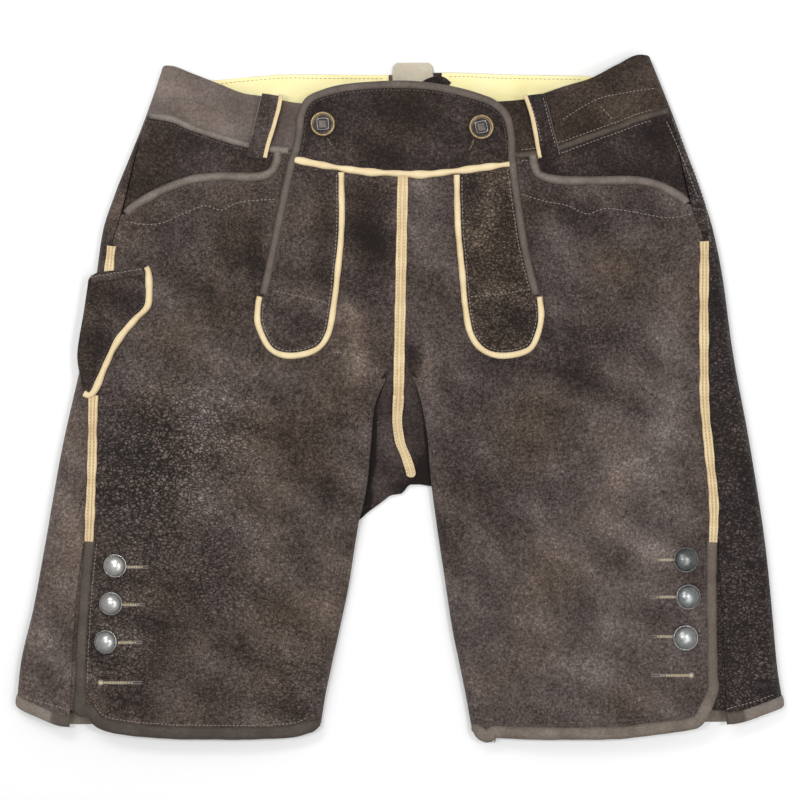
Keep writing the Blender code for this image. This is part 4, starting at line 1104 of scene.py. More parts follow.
# Linear colours from dark to pale.
SUEDE_STOPS = (
    (0.0, (0.012, 0.0085, 0.0075)),
    (0.22, (0.030, 0.0205, 0.0185)),
    (0.5, (0.086, 0.066, 0.060)),
    (0.65, (0.130, 0.101, 0.093)),
    (0.85, (0.22, 0.183, 0.168)),
    (1.0, (0.34, 0.30, 0.27)),
)
BINDING_STOPS = ((0.0, (0.045, 0.035, 0.03)), (0.5, (0.125, 0.10, 0.086)), (1.0, (0.27, 0.24, 0.215)))
NATURAL_STOPS = (
    (0.0, (0.42, 0.29, 0.16)), (0.35, (0.66, 0.50, 0.28)), (0.7, (0.82, 0.68, 0.42)),
    (1.0, (0.92, 0.83, 0.62)),
)
FACING_STOPS = ((0.0, (0.80, 0.66, 0.27)), (0.4, (0.95, 0.85, 0.41)), (1.0, (1.0, 0.95, 0.64)))
TAB_STOPS = ((0.0, (0.30, 0.25, 0.18)), (0.5, (0.54, 0.48, 0.37)), (1.0, (0.76, 0.70, 0.58)))
PEWTER_STOPS = ((0.0, (0.05, 0.05, 0.05)), (0.5, (0.30, 0.31, 0.31)), (1.0, (0.62, 0.61, 0.57)))
BRONZE_STOPS = ((0.0, (0.03, 0.022, 0.016)), (0.5, (0.20, 0.14, 0.075)), (1.0, (0.52, 0.42, 0.25)))
STONE_STOPS = ((0.0, (0.02, 0.018, 0.018)), (0.5, (0.09, 0.075, 0.07)), (1.0, (0.2, 0.17, 0.15)))

SUEDE = suede_look()
BINDING = binding_look()
NATURAL = pale_look("natural", NATURAL_STOPS, 0.7)
FACING = pale_look("facing", FACING_STOPS, 0.5, 0.6)
TAB = pale_look("tab", TAB_STOPS, 0.6, 0.9)
THREAD_PALE = thread_look("thread_pale", (0.42, 0.34, 0.22), (0.72, 0.62, 0.42))
THREAD_GREY = thread_look("thread_grey", (0.16, 0.135, 0.115), (0.34, 0.30, 0.26))
THREAD_DARK = thread_look("thread_dark", (0.045, 0.035, 0.03), (0.13, 0.105, 0.09))
THREAD_TAN = thread_look("thread_tan", (0.30, 0.20, 0.13), (0.52, 0.38, 0.25))
PEWTER = metal_look("pewter", PEWTER_STOPS, 0.3)
BRONZE = metal_look("bronze", BRONZE_STOPS, 0.38)
STONE = metal_look("dark_inset", STONE_STOPS, 0.45)


# ---------------------------------------------------------------------------------------------
# Leather pieces


def leather(
    name, base, outward, low, high, group, base_tone, finish=None, shade=0.0
):
    """A cut piece of leather over a grid of points on the skin."""
    tone = tone_of(group, base_tone, base[..., 0], base[..., 1])
    tone["wear_and_shade"] = tone["wear_and_shade"] + shade
    made = shell(name + "_look", base, outward, low, high, finish or SUEDE, [name], tone=tone)
    return made


def on_skin(side, runs, y):
    """Points and outward directions of the skin at runs of leather."""
    runs, y = np.broadcast_arrays(runs, y)
    return skin(side, runs, y), normal(side, runs, y)


def hem_middle(side):
    """The middle of the front hem's binding, from the slit to the leg's inner edge."""
    points = plan(HEM_FRONT[side]["x"], HEM_FRONT[side]["y"])
    points = points[:-1] if side == "left" else points[:0:-1]
    inner_x = smooth(FRONT_INNER["y"], FRONT_INNER[side], -270)
    route = beside(line(points, 240), SIDES[side] * HEM_WIDTH / 2)
    route = route[np.abs(route[:, 0]) > abs(inner_x) + 12]
    last = [
        [inner_x + SIDES[side] * 6, route[-1, 1] + 0.5], [inner_x + SIDES[side] * 0.5, route[-1, 1] + 1.2],
    ]
    return resample(np.concatenate([route, last]), np.linspace(0, 1, 240))


def front_leg(side):
    """From the side seam over the top to the inner edge, tucked under the hem, the mouth and the band."""
    foot = hem_middle(side)
    mouth = mouth_line(side, 0.6, 160)
    band_x = np.array([SIDES[side] * 97, *FRONT_TOP_X[side]])
    top = np.concatenate([mouth, plan(band_x, band_edge(side, "low", band_x) + 1.5)])
    u, v = steps(plan_length(foot), CELL), steps(top[0, 1] - foot[0, 1], CELL)
    top, foot = resample(top, u), resample(foot, u)
    rows = foot[0, 1] + (top[0, 1] - foot[0, 1]) * v
    left = edge_runs(side, rows, "front")
    inner_y = foot[-1, 1] + (top[-1, 1] - foot[-1, 1]) * v
    right = plan(end_run(side, inner_y) - GAP / 2, inner_y)
    top, foot = run_and_y(side, top), run_and_y(side, foot)
    top[0], foot[0], top[-1], foot[-1] = left[-1], left[0], right[-1], right[0]
    grid = patch_at(top, foot, left, right, u, v)
    base, outward = on_skin(side, grid[..., 0], grid[..., 1])
    leather(
        f"front_leg_{side}", base, outward, -LEATHER, 0, "leg", TONES["leg_" + side],
    )


def crotch_reach(side, y):
    """The longest run that keeps the back's inner edge hidden above the crotch's foot and under the leg."""
    order = np.argsort(CROTCH_FOOT["y"][:5])
    foot_x = np.interp(y, CROTCH_FOOT["y"][:5][order], CROTCH_FOOT["x"][:5][order])
    limit_x = foot_x - 1.5 if side == "left" else smooth(FRONT_INNER["y"], FRONT_INNER["right"], y) + 0.5
    reach = np.abs(fold_x(side, y) - limit_x) + QUARTER_RUN - FOLD_RADIUS
    return np.where((y < -71) & (y > -103), reach, 1e3)


def back_leg(side):
    """From the side seam round the fold and under the leg to its inner edge."""
    sign = SIDES[side]
    hem_y = hem_back_low(sign * HEM_CORNER_X) + HEM_WIDTH * 0.5
    top_y = back_top(sign * CORNER_X) - BAND_WIDTH + 1
    v = steps(top_y - hem_y, CELL)
    rows = hem_y + (top_y - hem_y) * v
    seam = edge_runs(side, rows, "back")[:, 0]
    shown = steps(60, CELL)[:-2]
    under = steps(260, 7.0)[2:]
    inner = -(end_run(side, rows, False) - GAP / 2)
    over = seam[:, None] * (1 - shown) - QUARTER_RUN * shown
    below = -QUARTER_RUN * (1 - under) + inner[:, None] * under
    runs = np.concatenate([over, below], axis=1)
    beneath = runs < -QUARTER_RUN
    under_x = fold_x(side, rows)[:, None] - sign * (np.abs(runs) - QUARTER_RUN + FOLD_RADIUS)
    plan_x = np.where(beneath, under_x, skin(side, runs, rows[:, None] + 0 * runs)[..., 0])
    hem_shift = hem_back_low(plan_x) + HEM_WIDTH * 0.5 - hem_y
    top_shift = np.where(beneath, back_top(under_x) - BAND_WIDTH + 1 - top_y, 0)
    y = rows[:, None] + hem_shift * (1 - v[:, None]) ** 3 + top_shift * v[:, None] ** 3
    inner = -np.minimum(end_run(side, y, False) - GAP / 2, crotch_reach(side, y))
    share = (runs + QUARTER_RUN) / (runs[:, -1:] + QUARTER_RUN)
    runs = np.where(beneath, -QUARTER_RUN * (1 - share) + inner * share, runs)
    base, outward = on_skin(side, runs, y)
    leather(f"back_leg_{side}", base, outward, -LEATHER, 0, "back", TONES["back_" + side])


def gusset(side):
    """The crotch between a leg's fold and the crotch seam, sinking towards the back layer."""
    v = steps(GUSSET_TOP_Y - GUSSET_FOOT_Y, 1.8)[:, None]
    flange = np.concatenate([np.linspace(1, 0.15, 6), np.zeros(len(steps(24, 1.6)))])
    u = np.concatenate([np.zeros(6), steps(24, 1.6)])
    foot_x = smooth(
        FRONT_INNER["y"], FRONT_INNER[side], -96,
    ) * (1 - u) + smooth(CROTCH["y"], CROTCH["x"], -70) * u
    foot_y_here = np.interp(foot_x, CROTCH_FOOT["x"], CROTCH_FOOT["y"])[None, :]
    y = GUSSET_TOP_Y + (foot_y_here - GUSSET_TOP_Y) * v
    outer_x = smooth(FRONT_INNER["y"], FRONT_INNER[side], y)
    seam_x = smooth(CROTCH["y"], CROTCH["x"], y) - SIDES[side] * 0.4
    x = outer_x * (1 - u) + seam_x * u + SIDES[side] * GUSSET_FLANGE * flange
    slump = (
        2.6 * np.sin(np.pi * u) + 2.5 * (1 - u) ** 2
    ) * ease((SLIT_TOP_Y - y) / 40) + 0.4 * ripple(x, y, FINE)
    height = np.maximum(gusset_height(y) - slump, 3.4)
    below_leg = skin(side, run_at(side, x, y), y)[..., 2] - 1.3 * LEATHER - 0.4
    height = height + np.maximum(below_leg - height, 0) * ease(flange * 1.1) * ease((y + 80) / 35)
    base, outward = facing_up(x, y, height)
    slit = 3.0 * ease((16 - y) / 60) + 2.2 * ease(
        (-70 - y) / 30
    ) + 0.4 if side == "left" else 1.2 * ease((10 - y) / 60)
    shade = -0.8 * ease((slit - np.abs(x - outer_x)) / 0.9 + 0.5 + 9 * flange) * ease((18 - y) / 8 + flange)
    leather(
        f"gusset_{side}", base, outward, -LEATHER, 0, "gusset", TONES["gusset"],
        shade=shade,
    )


def waistband(side):
    """From the centre front round the side fold to the split at the centre back."""
    sign = SIDES[side]
    fold_top = float(back_top(sign * CORNER_X))
    reach = np.concatenate([np.linspace(0, 88, 24), np.linspace(90, 186 if side == "left" else 197, 44)])
    front_x = FRONT_TOP_X[side][-1] + sign * (GAP / 2 + reach)
    front_top = band_edge(side, "top", front_x)
    under_flap = ease((90 - np.abs(front_x)) / 8)
    front_low = band_edge(side, "low", front_x) - under_flap * EDGE_WIDTH / 2
    fold_low_front = float(band_edge(side, "low", sign * CORNER_X))
    fold_low_back = fold_top - BAND_WIDTH
    turn = np.linspace(1, -1, 21)
    turn_low = fold_low_front + (fold_low_back - fold_low_front) * ease((0.4 - turn) / 0.9)
    reach = np.linspace(0, 1, 40)[1:]
    back_x = sign * BAND_BACK_X * (1 - reach) + (BACK_CENTRE + sign * 4) * reach
    lows = np.concatenate([front_low, turn_low, back_top(back_x) - BAND_WIDTH])
    turn_x = fold_x(side, 278) - sign * FOLD_RADIUS * (1 - np.cos(turn * math.pi / 2))
    in_front = ease(turn + 0.5)
    turn_top = band_edge(side, "top", turn_x) * in_front + back_top(turn_x) * (1 - in_front)
    tops = np.concatenate([front_top, turn_top, back_top(back_x)])
    v = steps(BAND_WIDTH, 2.4)[:, None]
    y = lows[None, :] * (1 - v) + tops[None, :] * v
    runs = np.empty_like(y)
    count, folded = len(front_x), len(front_x) + len(turn)
    runs[:, :count] = run_at(side, front_x[None, :] + 0 * y[:, :count], y[:, :count])
    runs[:, 0] = end_run(side, y[:, 0]) - GAP / 2
    runs[:, count:folded] = turn * QUARTER_RUN
    beyond = y[:, folded:]
    runs[:, folded:] = -(np.abs(back_x[None, :] - fold_x(side, beyond)) + QUARTER_RUN - FOLD_RADIUS)
    base, outward = on_skin(side, runs, y)
    leather(f"waistband_{side}", base, outward, -LEATHER, 0, "waist", TONES["waist_" + side])


def facing(side):
    """The pale facing inside the back waistband."""
    sign = SIDES[side]
    end_x = -10.0 if side == "left" else 34.0
    x = sign * FACING_X + (end_x - sign * FACING_X) * steps(180, 3.0)
    top = back_top(x) - 0.4
    v = steps(BAND_WIDTH, 2.4)[:, None]
    y = top * v + (top - BAND_WIDTH + 2) * (1 - v)
    runs = -(np.abs(x[None, :] - fold_x(side, y)) + QUARTER_RUN - FOLD_RADIUS)
    base, outward = on_skin(side, runs, y)
    sag = 0.5 * ripple(base[..., 0], base[..., 1], FINE)
    inside = -(LEATHER + GAP)
    leather(
        f"facing_back_{side}", base, outward, inside - 1.0 - 0.5 - sag, inside - 0.2, "plain",
        PLAIN_TONE, FACING,
    )


def pocket(side):
    """The leather seen inside the pocket mouth."""
    sign = SIDES[side]
    mouth = mouth_line(side, 5.0, 160)
    mouth = mouth[: int(0.93 * len(mouth))]
    seam_top = float(band_edge(side, "low", sign * CORNER_X))
    top_x = np.linspace(float(side_edge(side, seam_top, "front")), sign * 98, 160)
    top = plan(top_x, band_edge(side, "low", top_x))
    u, v = steps(plan_length(top), CELL), steps(seam_top - mouth[0, 1], CELL)
    rows = mouth[0, 1] - 2 + (seam_top - mouth[0, 1] + 2) * v
    left = edge_runs(side, rows, "front")
    top, foot = run_and_y(side, resample(top, u)), run_and_y(side, resample(mouth, u))
    top[0], foot[0] = left[-1], left[0]
    right = foot[-1] * (1 - v[:, None]) + top[-1] * v[:, None]
    grid = patch_at(top, foot, left, right, u, v)
    base, outward = on_skin(side, grid[..., 0], grid[..., 1])
    sunk = -(LEATHER + GAP) * (1 - ease((v[:, None] - 0.4) / 0.5)) + 0 * u
    leather(
        f"pocket_facing_{side}", base, outward, sunk - 1.5, sunk, "pocket",
        TONES["pocket_" + side],
    )


def belt_loop(side):
    """A loop standing off the waistband, its ends sewn down, with a pale strip along its inner edge."""
    sign = SIDES[side]
    top = np.array([LOOP[side][0], LOOP["y"][0]])
    foot = np.array([LOOP[side][1], LOOP["y"][1]])
    v = steps(54, 1.2)[:, None]
    middle = top * (1 - v) + foot * v + np.stack([0.9 * np.sin(5 * v[:, 0]), 0 * v[:, 0]], axis=-1)
    for name, offset, width, thickness in (
        ("belt_loop_" + side, 1.6 * sign, LOOP_WIDTH, 1.6),
        ("loop_edge_" + side, -sign * (LOOP_WIDTH / 2 - 0.2), LOOP_EDGE_WIDTH, 2.1),
    ):
        centre = middle + np.array([offset, 0])
        u = steps(width, 1.4)
        x = centre[:, :1] + width * (u - 0.5)
        y = centre[:, 1:] + 0 * x + LOOP_SLANT * sign * (x - centre[:, :1])
        base, outward = on_top(x, y)
        rise = loop_rise(v) + 0.25 * np.sin(2.2 * u * math.pi) + 0 * x
        if width == LOOP_WIDTH:
            tone = TONES["loop_" + side]
            leather(name, base, outward, rise, rise + thickness, "flap", tone)
        else:
            tone = {"wear_and_shade": -0.02}
            shell(
                name + "_look", base, outward, rise - 0.2, rise + thickness, NATURAL, [name],
                tone=tone,
            )


def loop_rise(v):
    """How far a belt loop stands off the band, from its top at 0 to its foot at 1."""
    return 0.3 + LOOP_RISE * np.clip(np.sin(np.pi * np.clip(0.04 + 0.94 * v, 0, 1)), 0, 1) ** 0.6


def back_tab():
    """The pale suede tongue behind the split at the back, standing above the waistband."""
    u, v = steps(TAB_RIGHT - TAB_LEFT, 1.4), steps(TAB_TOP - TAB_FOOT, 1.4)
    x = TAB_LEFT + (TAB_RIGHT - TAB_LEFT) * u
    corner = 4.2 * np.clip(1 - np.minimum(u, 1 - u) * 8.5, 0, 1) ** 2
    pinch = 1 - 0.02 * ease((v[:, None] - 0.86) / 0.14)
    middle = (TAB_LEFT + TAB_RIGHT) / 2
    x = middle + (x - middle)[None, :] * pinch
    y = TAB_FOOT + (TAB_TOP - TAB_FOOT) * v[:, None] - v[:, None] ** 8 * corner[None, :]
    wave = 0.5 * ripple(x, y, FINE)
    base, outward = facing_up(x, y, TAB_HEIGHT + wave)
    leather("back_tab", base, outward, -LEATHER, 0, "plain", PLAIN_TONE, TAB)


def flap():
    """The drop front's band, tucked under its binding and its foot piping."""
    arch = beside(line(FLAP_TOP, 240), EDGE_WIDTH * 0.5)
    x = np.linspace(-86.5, 90.5, 160)
    foot = plan(x, foot_y(x))
    u, v = steps(176, 2.2), steps(62, 2.2)
    arch, foot = resample(arch, u), resample(foot, u)
    left = foot[0] * (1 - v[:, None]) + arch[0] * v[:, None]
    right = foot[-1] * (1 - v[:, None]) + arch[-1] * v[:, None]
    grid = patch_at(arch, foot, left, right, u, v)
    base, outward = on_top(grid[..., 0], grid[..., 1])
    leather(
        "flap_band", base, outward, GAP, ON_FLAP, "flap", TONES["flap"],
    )


def tongue(side):
    """A side tongue below the flap, tucked under its binding and its piping."""
    sign = SIDES[side]
    route = line(TONGUE_PIPING[side], 400)
    inside = beside(route, -sign * 0.4)
    bottom = int(np.argmin(inside[:, 1]))
    bound_y = np.linspace(84, foot_y(sign * FLAP_END_X), 120)
    bound = smooth(FLAP_SIDE["y"], FLAP_SIDE[side], bound_y) - sign * EDGE_WIDTH * 0.5
    outer = np.concatenate([inside[bottom:], plan(bound, bound_y)])
    inner = inside[: bottom + 1][::-1]
    v = np.concatenate([[0], np.linspace(0, 1, 78)[1:-1] ** 1.25, [1]])
    outer, inner = resample(outer, v), resample(inner, v)
    u = steps(58, 2.0)
    points = outer[:, None] * (1 - u[None, :, None]) + inner[:, None] * u[None, :, None]
    points[0] = outer[0] * 0.98 + 0.02 * points[3].mean(axis=0)
    base, outward = on_top(points[1:, :, 0], points[1:, :, 1])
    leather(
        f"tongue_{side}", base, outward, GAP, ON_FLAP, "tongue",
        TONES["tongue_" + side],
    )


def sheath():
    """The flat sheath pocket for a knife on the left leg."""
    piping = line({key: values[:-1] for key, values in SHEATH_PIPING.items()}, 240)
    inner = beside(piping, 0.2)
    outer = line(SHEATH_OUTER, 240)
    u, v = steps(48, 2.0), steps(104, 2.0)
    outer, inner = resample(outer, v), resample(inner, v)
    grid = outer[:, None] * (1 - u[None, :, None]) + inner[:, None] * u[None, :, None]
    base, outward = sheath_surface(grid[..., 0], grid[..., 1])
    swell = 0.8 * np.sin(np.pi * u)[None, :] * np.sin(np.pi * v)[:, None] + 0 * base[..., 0]
    leather(
        "sheath", base, outward, 0.9 + 0 * swell, 3.0 + swell, "sheath", TONES["sheath"],
    )


def sheath_surface(x, y):
    """The skin below the sheath, carried on level past the side fold."""
    inset_x = np.maximum(x, fold_x("left", y) + FOLD_RADIUS + 1)
    return facing_up(x, y, on_top(inset_x, y)[0][..., 2])


def crotch_surface(x, y):
    """The top of the front's centre seam, then of the crotch seam."""
    level = on_top(0 * y - 8.0, np.maximum(y, 40))[0][..., 2]
    share = ease((y - SLIT_TOP_Y - 2) / 8)
    return facing_up(x, y, gusset_height(y) * (1 - share) + level * share)


def stand(side):
    """The button stand under the slit at the foot of the side seam."""
    sign = SIDES[side]
    v = steps(140, 3.0)
    y = VENT_TOP_Y - 2 + (-256 - VENT_TOP_Y + 2) * v
    outer = smooth(VENT["y"], VENT["back_" + side], y) + sign * 6
    u = steps(34, 3.0)
    x = outer[:, None] - sign * 34 * u
    base, outward = on_top(x, y[:, None])
    leather(
        f"vent_stand_{side}", base, outward, -3.8, -2.2, "back", TONES["back_" + side],
    )


# ---------------------------------------------------------------------------------------------
# Edges: bindings, pipings, hems and strips


def roll(
    name, route, width, low, high, finish, slot, surface=None, nodes=None,
    wear_and_shade=0.5, worn=0.0, warm=0.3, flat=2.4, wander=0.25, round_end=0.0, ribs=0.0,
):
    """A rounded strip along a line in plan, with its own small unevenness. It lies from low to high.

    Its wear_and_shade changes by worn from about a third of its way, and its crown is painted paler as a
    highlight; flat makes its crown flatter, ribs sinks two grooves along it that are painted darker as shade,
    and round_end rounds off one corner at its end, on the side that its sign says.
    """
    length = plan_length(route)
    along = steps(length, 1.6, (0, 0.3, 1.0))
    points = resample(route, along)
    t = np.array([-1, -0.97, -0.86, -0.62, -0.4, -0.3, -0.2, 0, 0.2, 0.3, 0.4, 0.62, 0.86, 0.97, 1])
    seed = sum(map(ord, name + "_look")) % 97
    wobble = np.sin(along * length / 7.3 + seed) + 0.7 * np.sin(along * length / 3.1 + 2 * seed)
    half = (width(along) if callable(width) else width) / 2 + wander * wobble * 0.5
    to_end = (1 - along) * length
    rounding = abs(round_end) * (1 - np.sqrt(1 - (1 - np.clip(to_end / max(abs(round_end), 1), 0, 1)) ** 2))
    cut = np.where(
        t[None, :] * round_end > 0, np.abs(t)[None, :] * np.minimum(rounding, 1.6 * half)[:, None], 0,
    )
    tangent = np.gradient(points, axis=0)
    tangent /= np.linalg.norm(tangent, axis=1, keepdims=True)
    aside = np.stack([tangent[:, 1], -tangent[:, 0]], axis=-1)
    out = half[:, None] * t[None, :] - np.sign(t)[None, :] * cut
    grid = points[:, None] + aside[:, None] * out[..., None]
    base, outward = (surface or on_top)(grid[..., 0], grid[..., 1])
    ends = rounded(np.minimum(along, 1 - along) * length, 0.8)[:, None]
    crown = (1 - np.abs(t) ** flat) ** (1 / flat)
    bumpy = 1 + 0.05 * np.sin(along * length / 4.7 + seed)[:, None] * (wander > 0)
    groove = np.exp(-(((np.abs(t) - 0.3) / 0.1) ** 2))[None, :] * ribs
    bulge = np.clip((crown[None, :] - groove) * ends * bumpy, 0, 1.1)
    bulge[0], bulge[-1], bulge[:, 0], bulge[:, -1] = 0, 0, 0, 0
    # paler paints a highlight on the crown and, below, painted shade in the grooves, on top of an uneven tone
    # and the wear set by worn.
    paler = 0.16 * crown[None, :] ** 3 - 0.12 + 0.1 * wobble[:, None] * (wander > 0) * 0.4
    paler = paler + worn * ease((along - 0.3) / 0.12)[:, None] - 1.4 * groove
    tone = {"wear_and_shade": wear_and_shade + paler, "warm": warm, "grain": 0}
    shell(
        name + "_look", base, outward, low, high, finish, nodes or [name], True, bulge, tone,
    )


def leg_binding_route(side):
    """Down the slit's edge, round its corner and along the hem to the leg's inner edge."""
    turn_y, turn_x = (-256, 256) if side == "left" else (-240, 246)
    slit = down(VENT, "front_" + side, VENT_TOP_Y + 1.5, turn_y, 120)
    along = hem_middle(side)
    along = along[np.abs(along[:, 0]) < turn_x]
    return line(np.concatenate([slit[::12], slit[-1:], along[::14], along[-1:]]), 600)


def pocket_edge_route(side):
    """The pocket mouth's line, carried on under the waist's welt at its inner end."""
    route = mouth_line(side, 0, 300)
    if abs(route[0, 0]) > abs(route[-1, 0]):
        route = route[::-1]
    start = route[0]
    lead = [[start[0] - SIDES[side] * 0.6, float(band_edge(side, "low", start[0])) - 0.5]]
    route = np.concatenate([lead, route]) if lead[0][1] > start[1] + 1 else route
    return line(np.concatenate([route[:2], route[6::14], route[-1:]]), 300)


def leg_binding_width(along):
    """Wider along the hem than down the slit."""
    return STRIP_WIDTH + 0.2 + 2.0 * ease((along - 0.3) / 0.1)


def edges():
    """Every bound, hemmed and piped edge."""
    for side, sign in SIDES.items():
        roll(
            "leg_binding_" + side, leg_binding_route(side), leg_binding_width, -2.1, 1.2, BINDING, "suede",
            nodes=["hem_front_" + side, "vent_binding_" + side], wear_and_shade=VENT_TONES[side][0],
            worn=HEM_TONES[side][0] - VENT_TONES[side][0], warm=HEM_TONES[side][1], flat=3.2,
            round_end=-sign * 9.0,
        )
        seam_x = float(side_edge(side, band_edge(side, "low", sign * CORNER_X), "front"))
        x = np.linspace(seam_x - sign * 1.0, sign * 92, 200)
        roll(
            "waist_welt_" + side, plan(x, band_edge(side, "low", x)), WELT_WIDTH + 0.8, -1.4, 1.7,
            BINDING, "binding", wear_and_shade=WELT_TONES[side][0], warm=WELT_TONES[side][1],
        )
        roll(
            "pocket_edge_" + side, pocket_edge_route(side), EDGE_WIDTH + 1.3, -1.7, 2.2,
            BINDING, "binding", wear_and_shade=0.56, warm=0.15 if side == "right" else 0.3, wander=0.2,
        )
        roll(
            "tongue_piping_" + side, line(TONGUE_PIPING[side], 400), PIPING_WIDTH + 0.2, GAP, 3.0,
            NATURAL, "natural", wear_and_shade=0.05,
        )
    roll(
        "flap_binding", beside(flap_outline(400), EDGE_WIDTH / 2), EDGE_WIDTH + 0.7, GAP, 3.2,
        BINDING, "binding", wear_and_shade=0.34, wander=0.12,
    )
    x = np.linspace(-87.5, 89.5, 300)
    roll(
        "flap_foot_piping", plan(x, foot_y(x)), PIPING_WIDTH + 0.6, GAP, 3.4,
        NATURAL, "natural", wear_and_shade=0.08, wander=0.9,
    )
    for name, start, end, width, low, high in (
        ("front_strip", 183, 0.8, STRIP_WIDTH, 0.3, 1.9),
        ("crotch_strip", 3.0, -65, crotch_strip_width, 0.8, 2.4),
    ):
        roll(
            name, down(CROTCH, "x", start, end), width, low, high, NATURAL, "natural", crotch_surface,
            wear_and_shade=-0.02, flat=5.0, ribs=0.3,
        )
    for name, side, start, end in (
        ("left_upper", "left", 126, 104), ("left", "left", 3, -117.5), ("right", "right", 130, -118),
    ):
        roll(
            "side_strip_" + name, down(SIDE_SEAM, side, start, end), SIDE_STRIP_WIDTH, 0.1, 1.8,
            NATURAL, "natural", wear_and_shade=-0.02, flat=4.0, wander=0.5, ribs=0.3,
        )
    roll(
        "sheath_piping", soften(line(SHEATH_PIPING, 300), 4.0), PIPING_WIDTH + 0.6, 0.9, 4.2,
        NATURAL, "natural", sheath_surface, wear_and_shade=0.03, wander=0.6,
    )
    roll(
        "sheath_band", line(SHEATH_BAND, 100), 6.4, 3.4, 4.8, SUEDE, "suede", sheath_surface, wear_and_shade=0.36,
        flat=4.0,
    )
    roll(
        "back_tie", line(TIE, 100), TIE_WIDTH, TAB_HEIGHT + GAP, TAB_HEIGHT + 2.0,
        SUEDE, "suede", flat_surface, wear_and_shade=0.12, flat=3.0,
    )


def crotch_strip_width(along):
    """Wide where it overlaps the front strip, and rounded off at its foot."""
    wide = STRIP_WIDTH - 0.8 + 1.4 * ease((0.24 - along) / 0.12)
    return wide * np.sqrt(np.clip(1 - np.clip((along - 0.955) / 0.045, 0, 0.97) ** 2, 0, 1))


def flat_surface(x, y):
    """The level on which the tie lies."""
    return facing_up(x, y, 0.0)


def back_hem(side):
    """The turned hem round the back of a leg."""
    sign = SIDES[side]
    start_y = float(hem_back_low(sign * HEM_CORNER_X))
    seam = float(edge_runs(side, np.array([start_y]), "back")[0, 0])
    inner = -float(end_run(side, np.array([start_y]), False)[0] - GAP / 2)
    shown = np.linspace(0, 1, 50)
    runs = np.concatenate(
        [seam * (1 - shown) - QUARTER_RUN * shown, np.linspace(-QUARTER_RUN - 3, inner, 60)]
    )
    runs = np.sort(np.concatenate([runs, [seam - 0.3, seam - 1, inner + 0.3, inner + 1]]))[::-1]
    v = steps(HEM_WIDTH, 1.2, (0, 0.3, 1.0))
    low = hem_back_low(skin(side, runs, start_y)[..., 0])
    base, outward = on_skin(side, runs[None, :], low[None, :] + HEM_WIDTH * v[:, None])
    proud = 1.3 * np.sin(np.pi * np.clip(v, 0, 1)) ** 0.5
    leather(
        f"hem_back_{side}", base, outward, -2.6 + 0 * base[..., 0],
        (proud[:, None] * ease(0.2 + (runs + QUARTER_RUN) / 8)[None, :]),
        "plain", TONES["hem_back_" + side], BINDING,
        shade=-0.5 * ease((runs - seam + 17) / 4)[None, :] + 0.0 * base[..., 0],
    )


# ---------------------------------------------------------------------------------------------
# Stitching


def sewn(route, lift, surface=None, pitch=3.1, wander=0.12):
    """Stitches along a line in plan: start and end points on the surface, and outward directions."""
    count = max(2, round(plan_length(route) / pitch))
    ends = resample(route, np.linspace(0, 1, count + 1))
    jitter = np.random.default_rng(count).normal(0, wander, ends.shape)
    ends = ends + jitter
    start = ends[:-1]
    stop = start + 0.74 * (ends[1:] - start)
    t = np.array([0, 0.22, 0.78, 1])
    points = start[:, None] * (1 - t[None, :, None]) + stop[:, None] * t[None, :, None]
    base, outward = (surface or on_top)(points[..., 0], points[..., 1])
    if callable(lift):
        lift = lift(np.linspace(0, 1, count))[:, None, None]
    return base + outward * lift, outward


def threads(name, rows, finish, radius):
    """One joined mesh of short stitches, each sunk into the leather at both ends."""
    centre = np.concatenate([row[0] for row in rows])
    outward = np.concatenate([row[1] for row in rows])
    rise = np.array([-0.35, 0.16, 0.16, -0.35])
    size = np.array([0.55, 1, 1, 0.55]) * radius
    along = centre[:, 3:4] - centre[:, :1]
    along = along / np.linalg.norm(along, axis=-1, keepdims=True)
    aside = np.cross(np.broadcast_to(along, outward.shape), outward)
    angles = np.arange(6) * math.pi / 3
    ring = np.cos(angles)[:, None] * aside[:, :, None] + np.sin(angles)[:, None] * outward[:, :, None]
    middle = centre + outward * rise[:, None]
    vertices = (middle[:, :, None] + ring * size[None, :, None, None]).reshape(-1, 3)
    count = len(centre)
    at = np.arange(count * 24).reshape(count, 4, 6)
    nxt = np.roll(at, -1, axis=2)
    sides = np.stack([at[:, :-1], nxt[:, :-1], nxt[:, 1:], at[:, 1:]], axis=-1).reshape(-1, 4)
    caps = np.concatenate([at[:, 0, ::-1], at[:, 3]])
    return piece(name, vertices, [sides, caps], finish, [], {"wear_and_shade": 0.5})


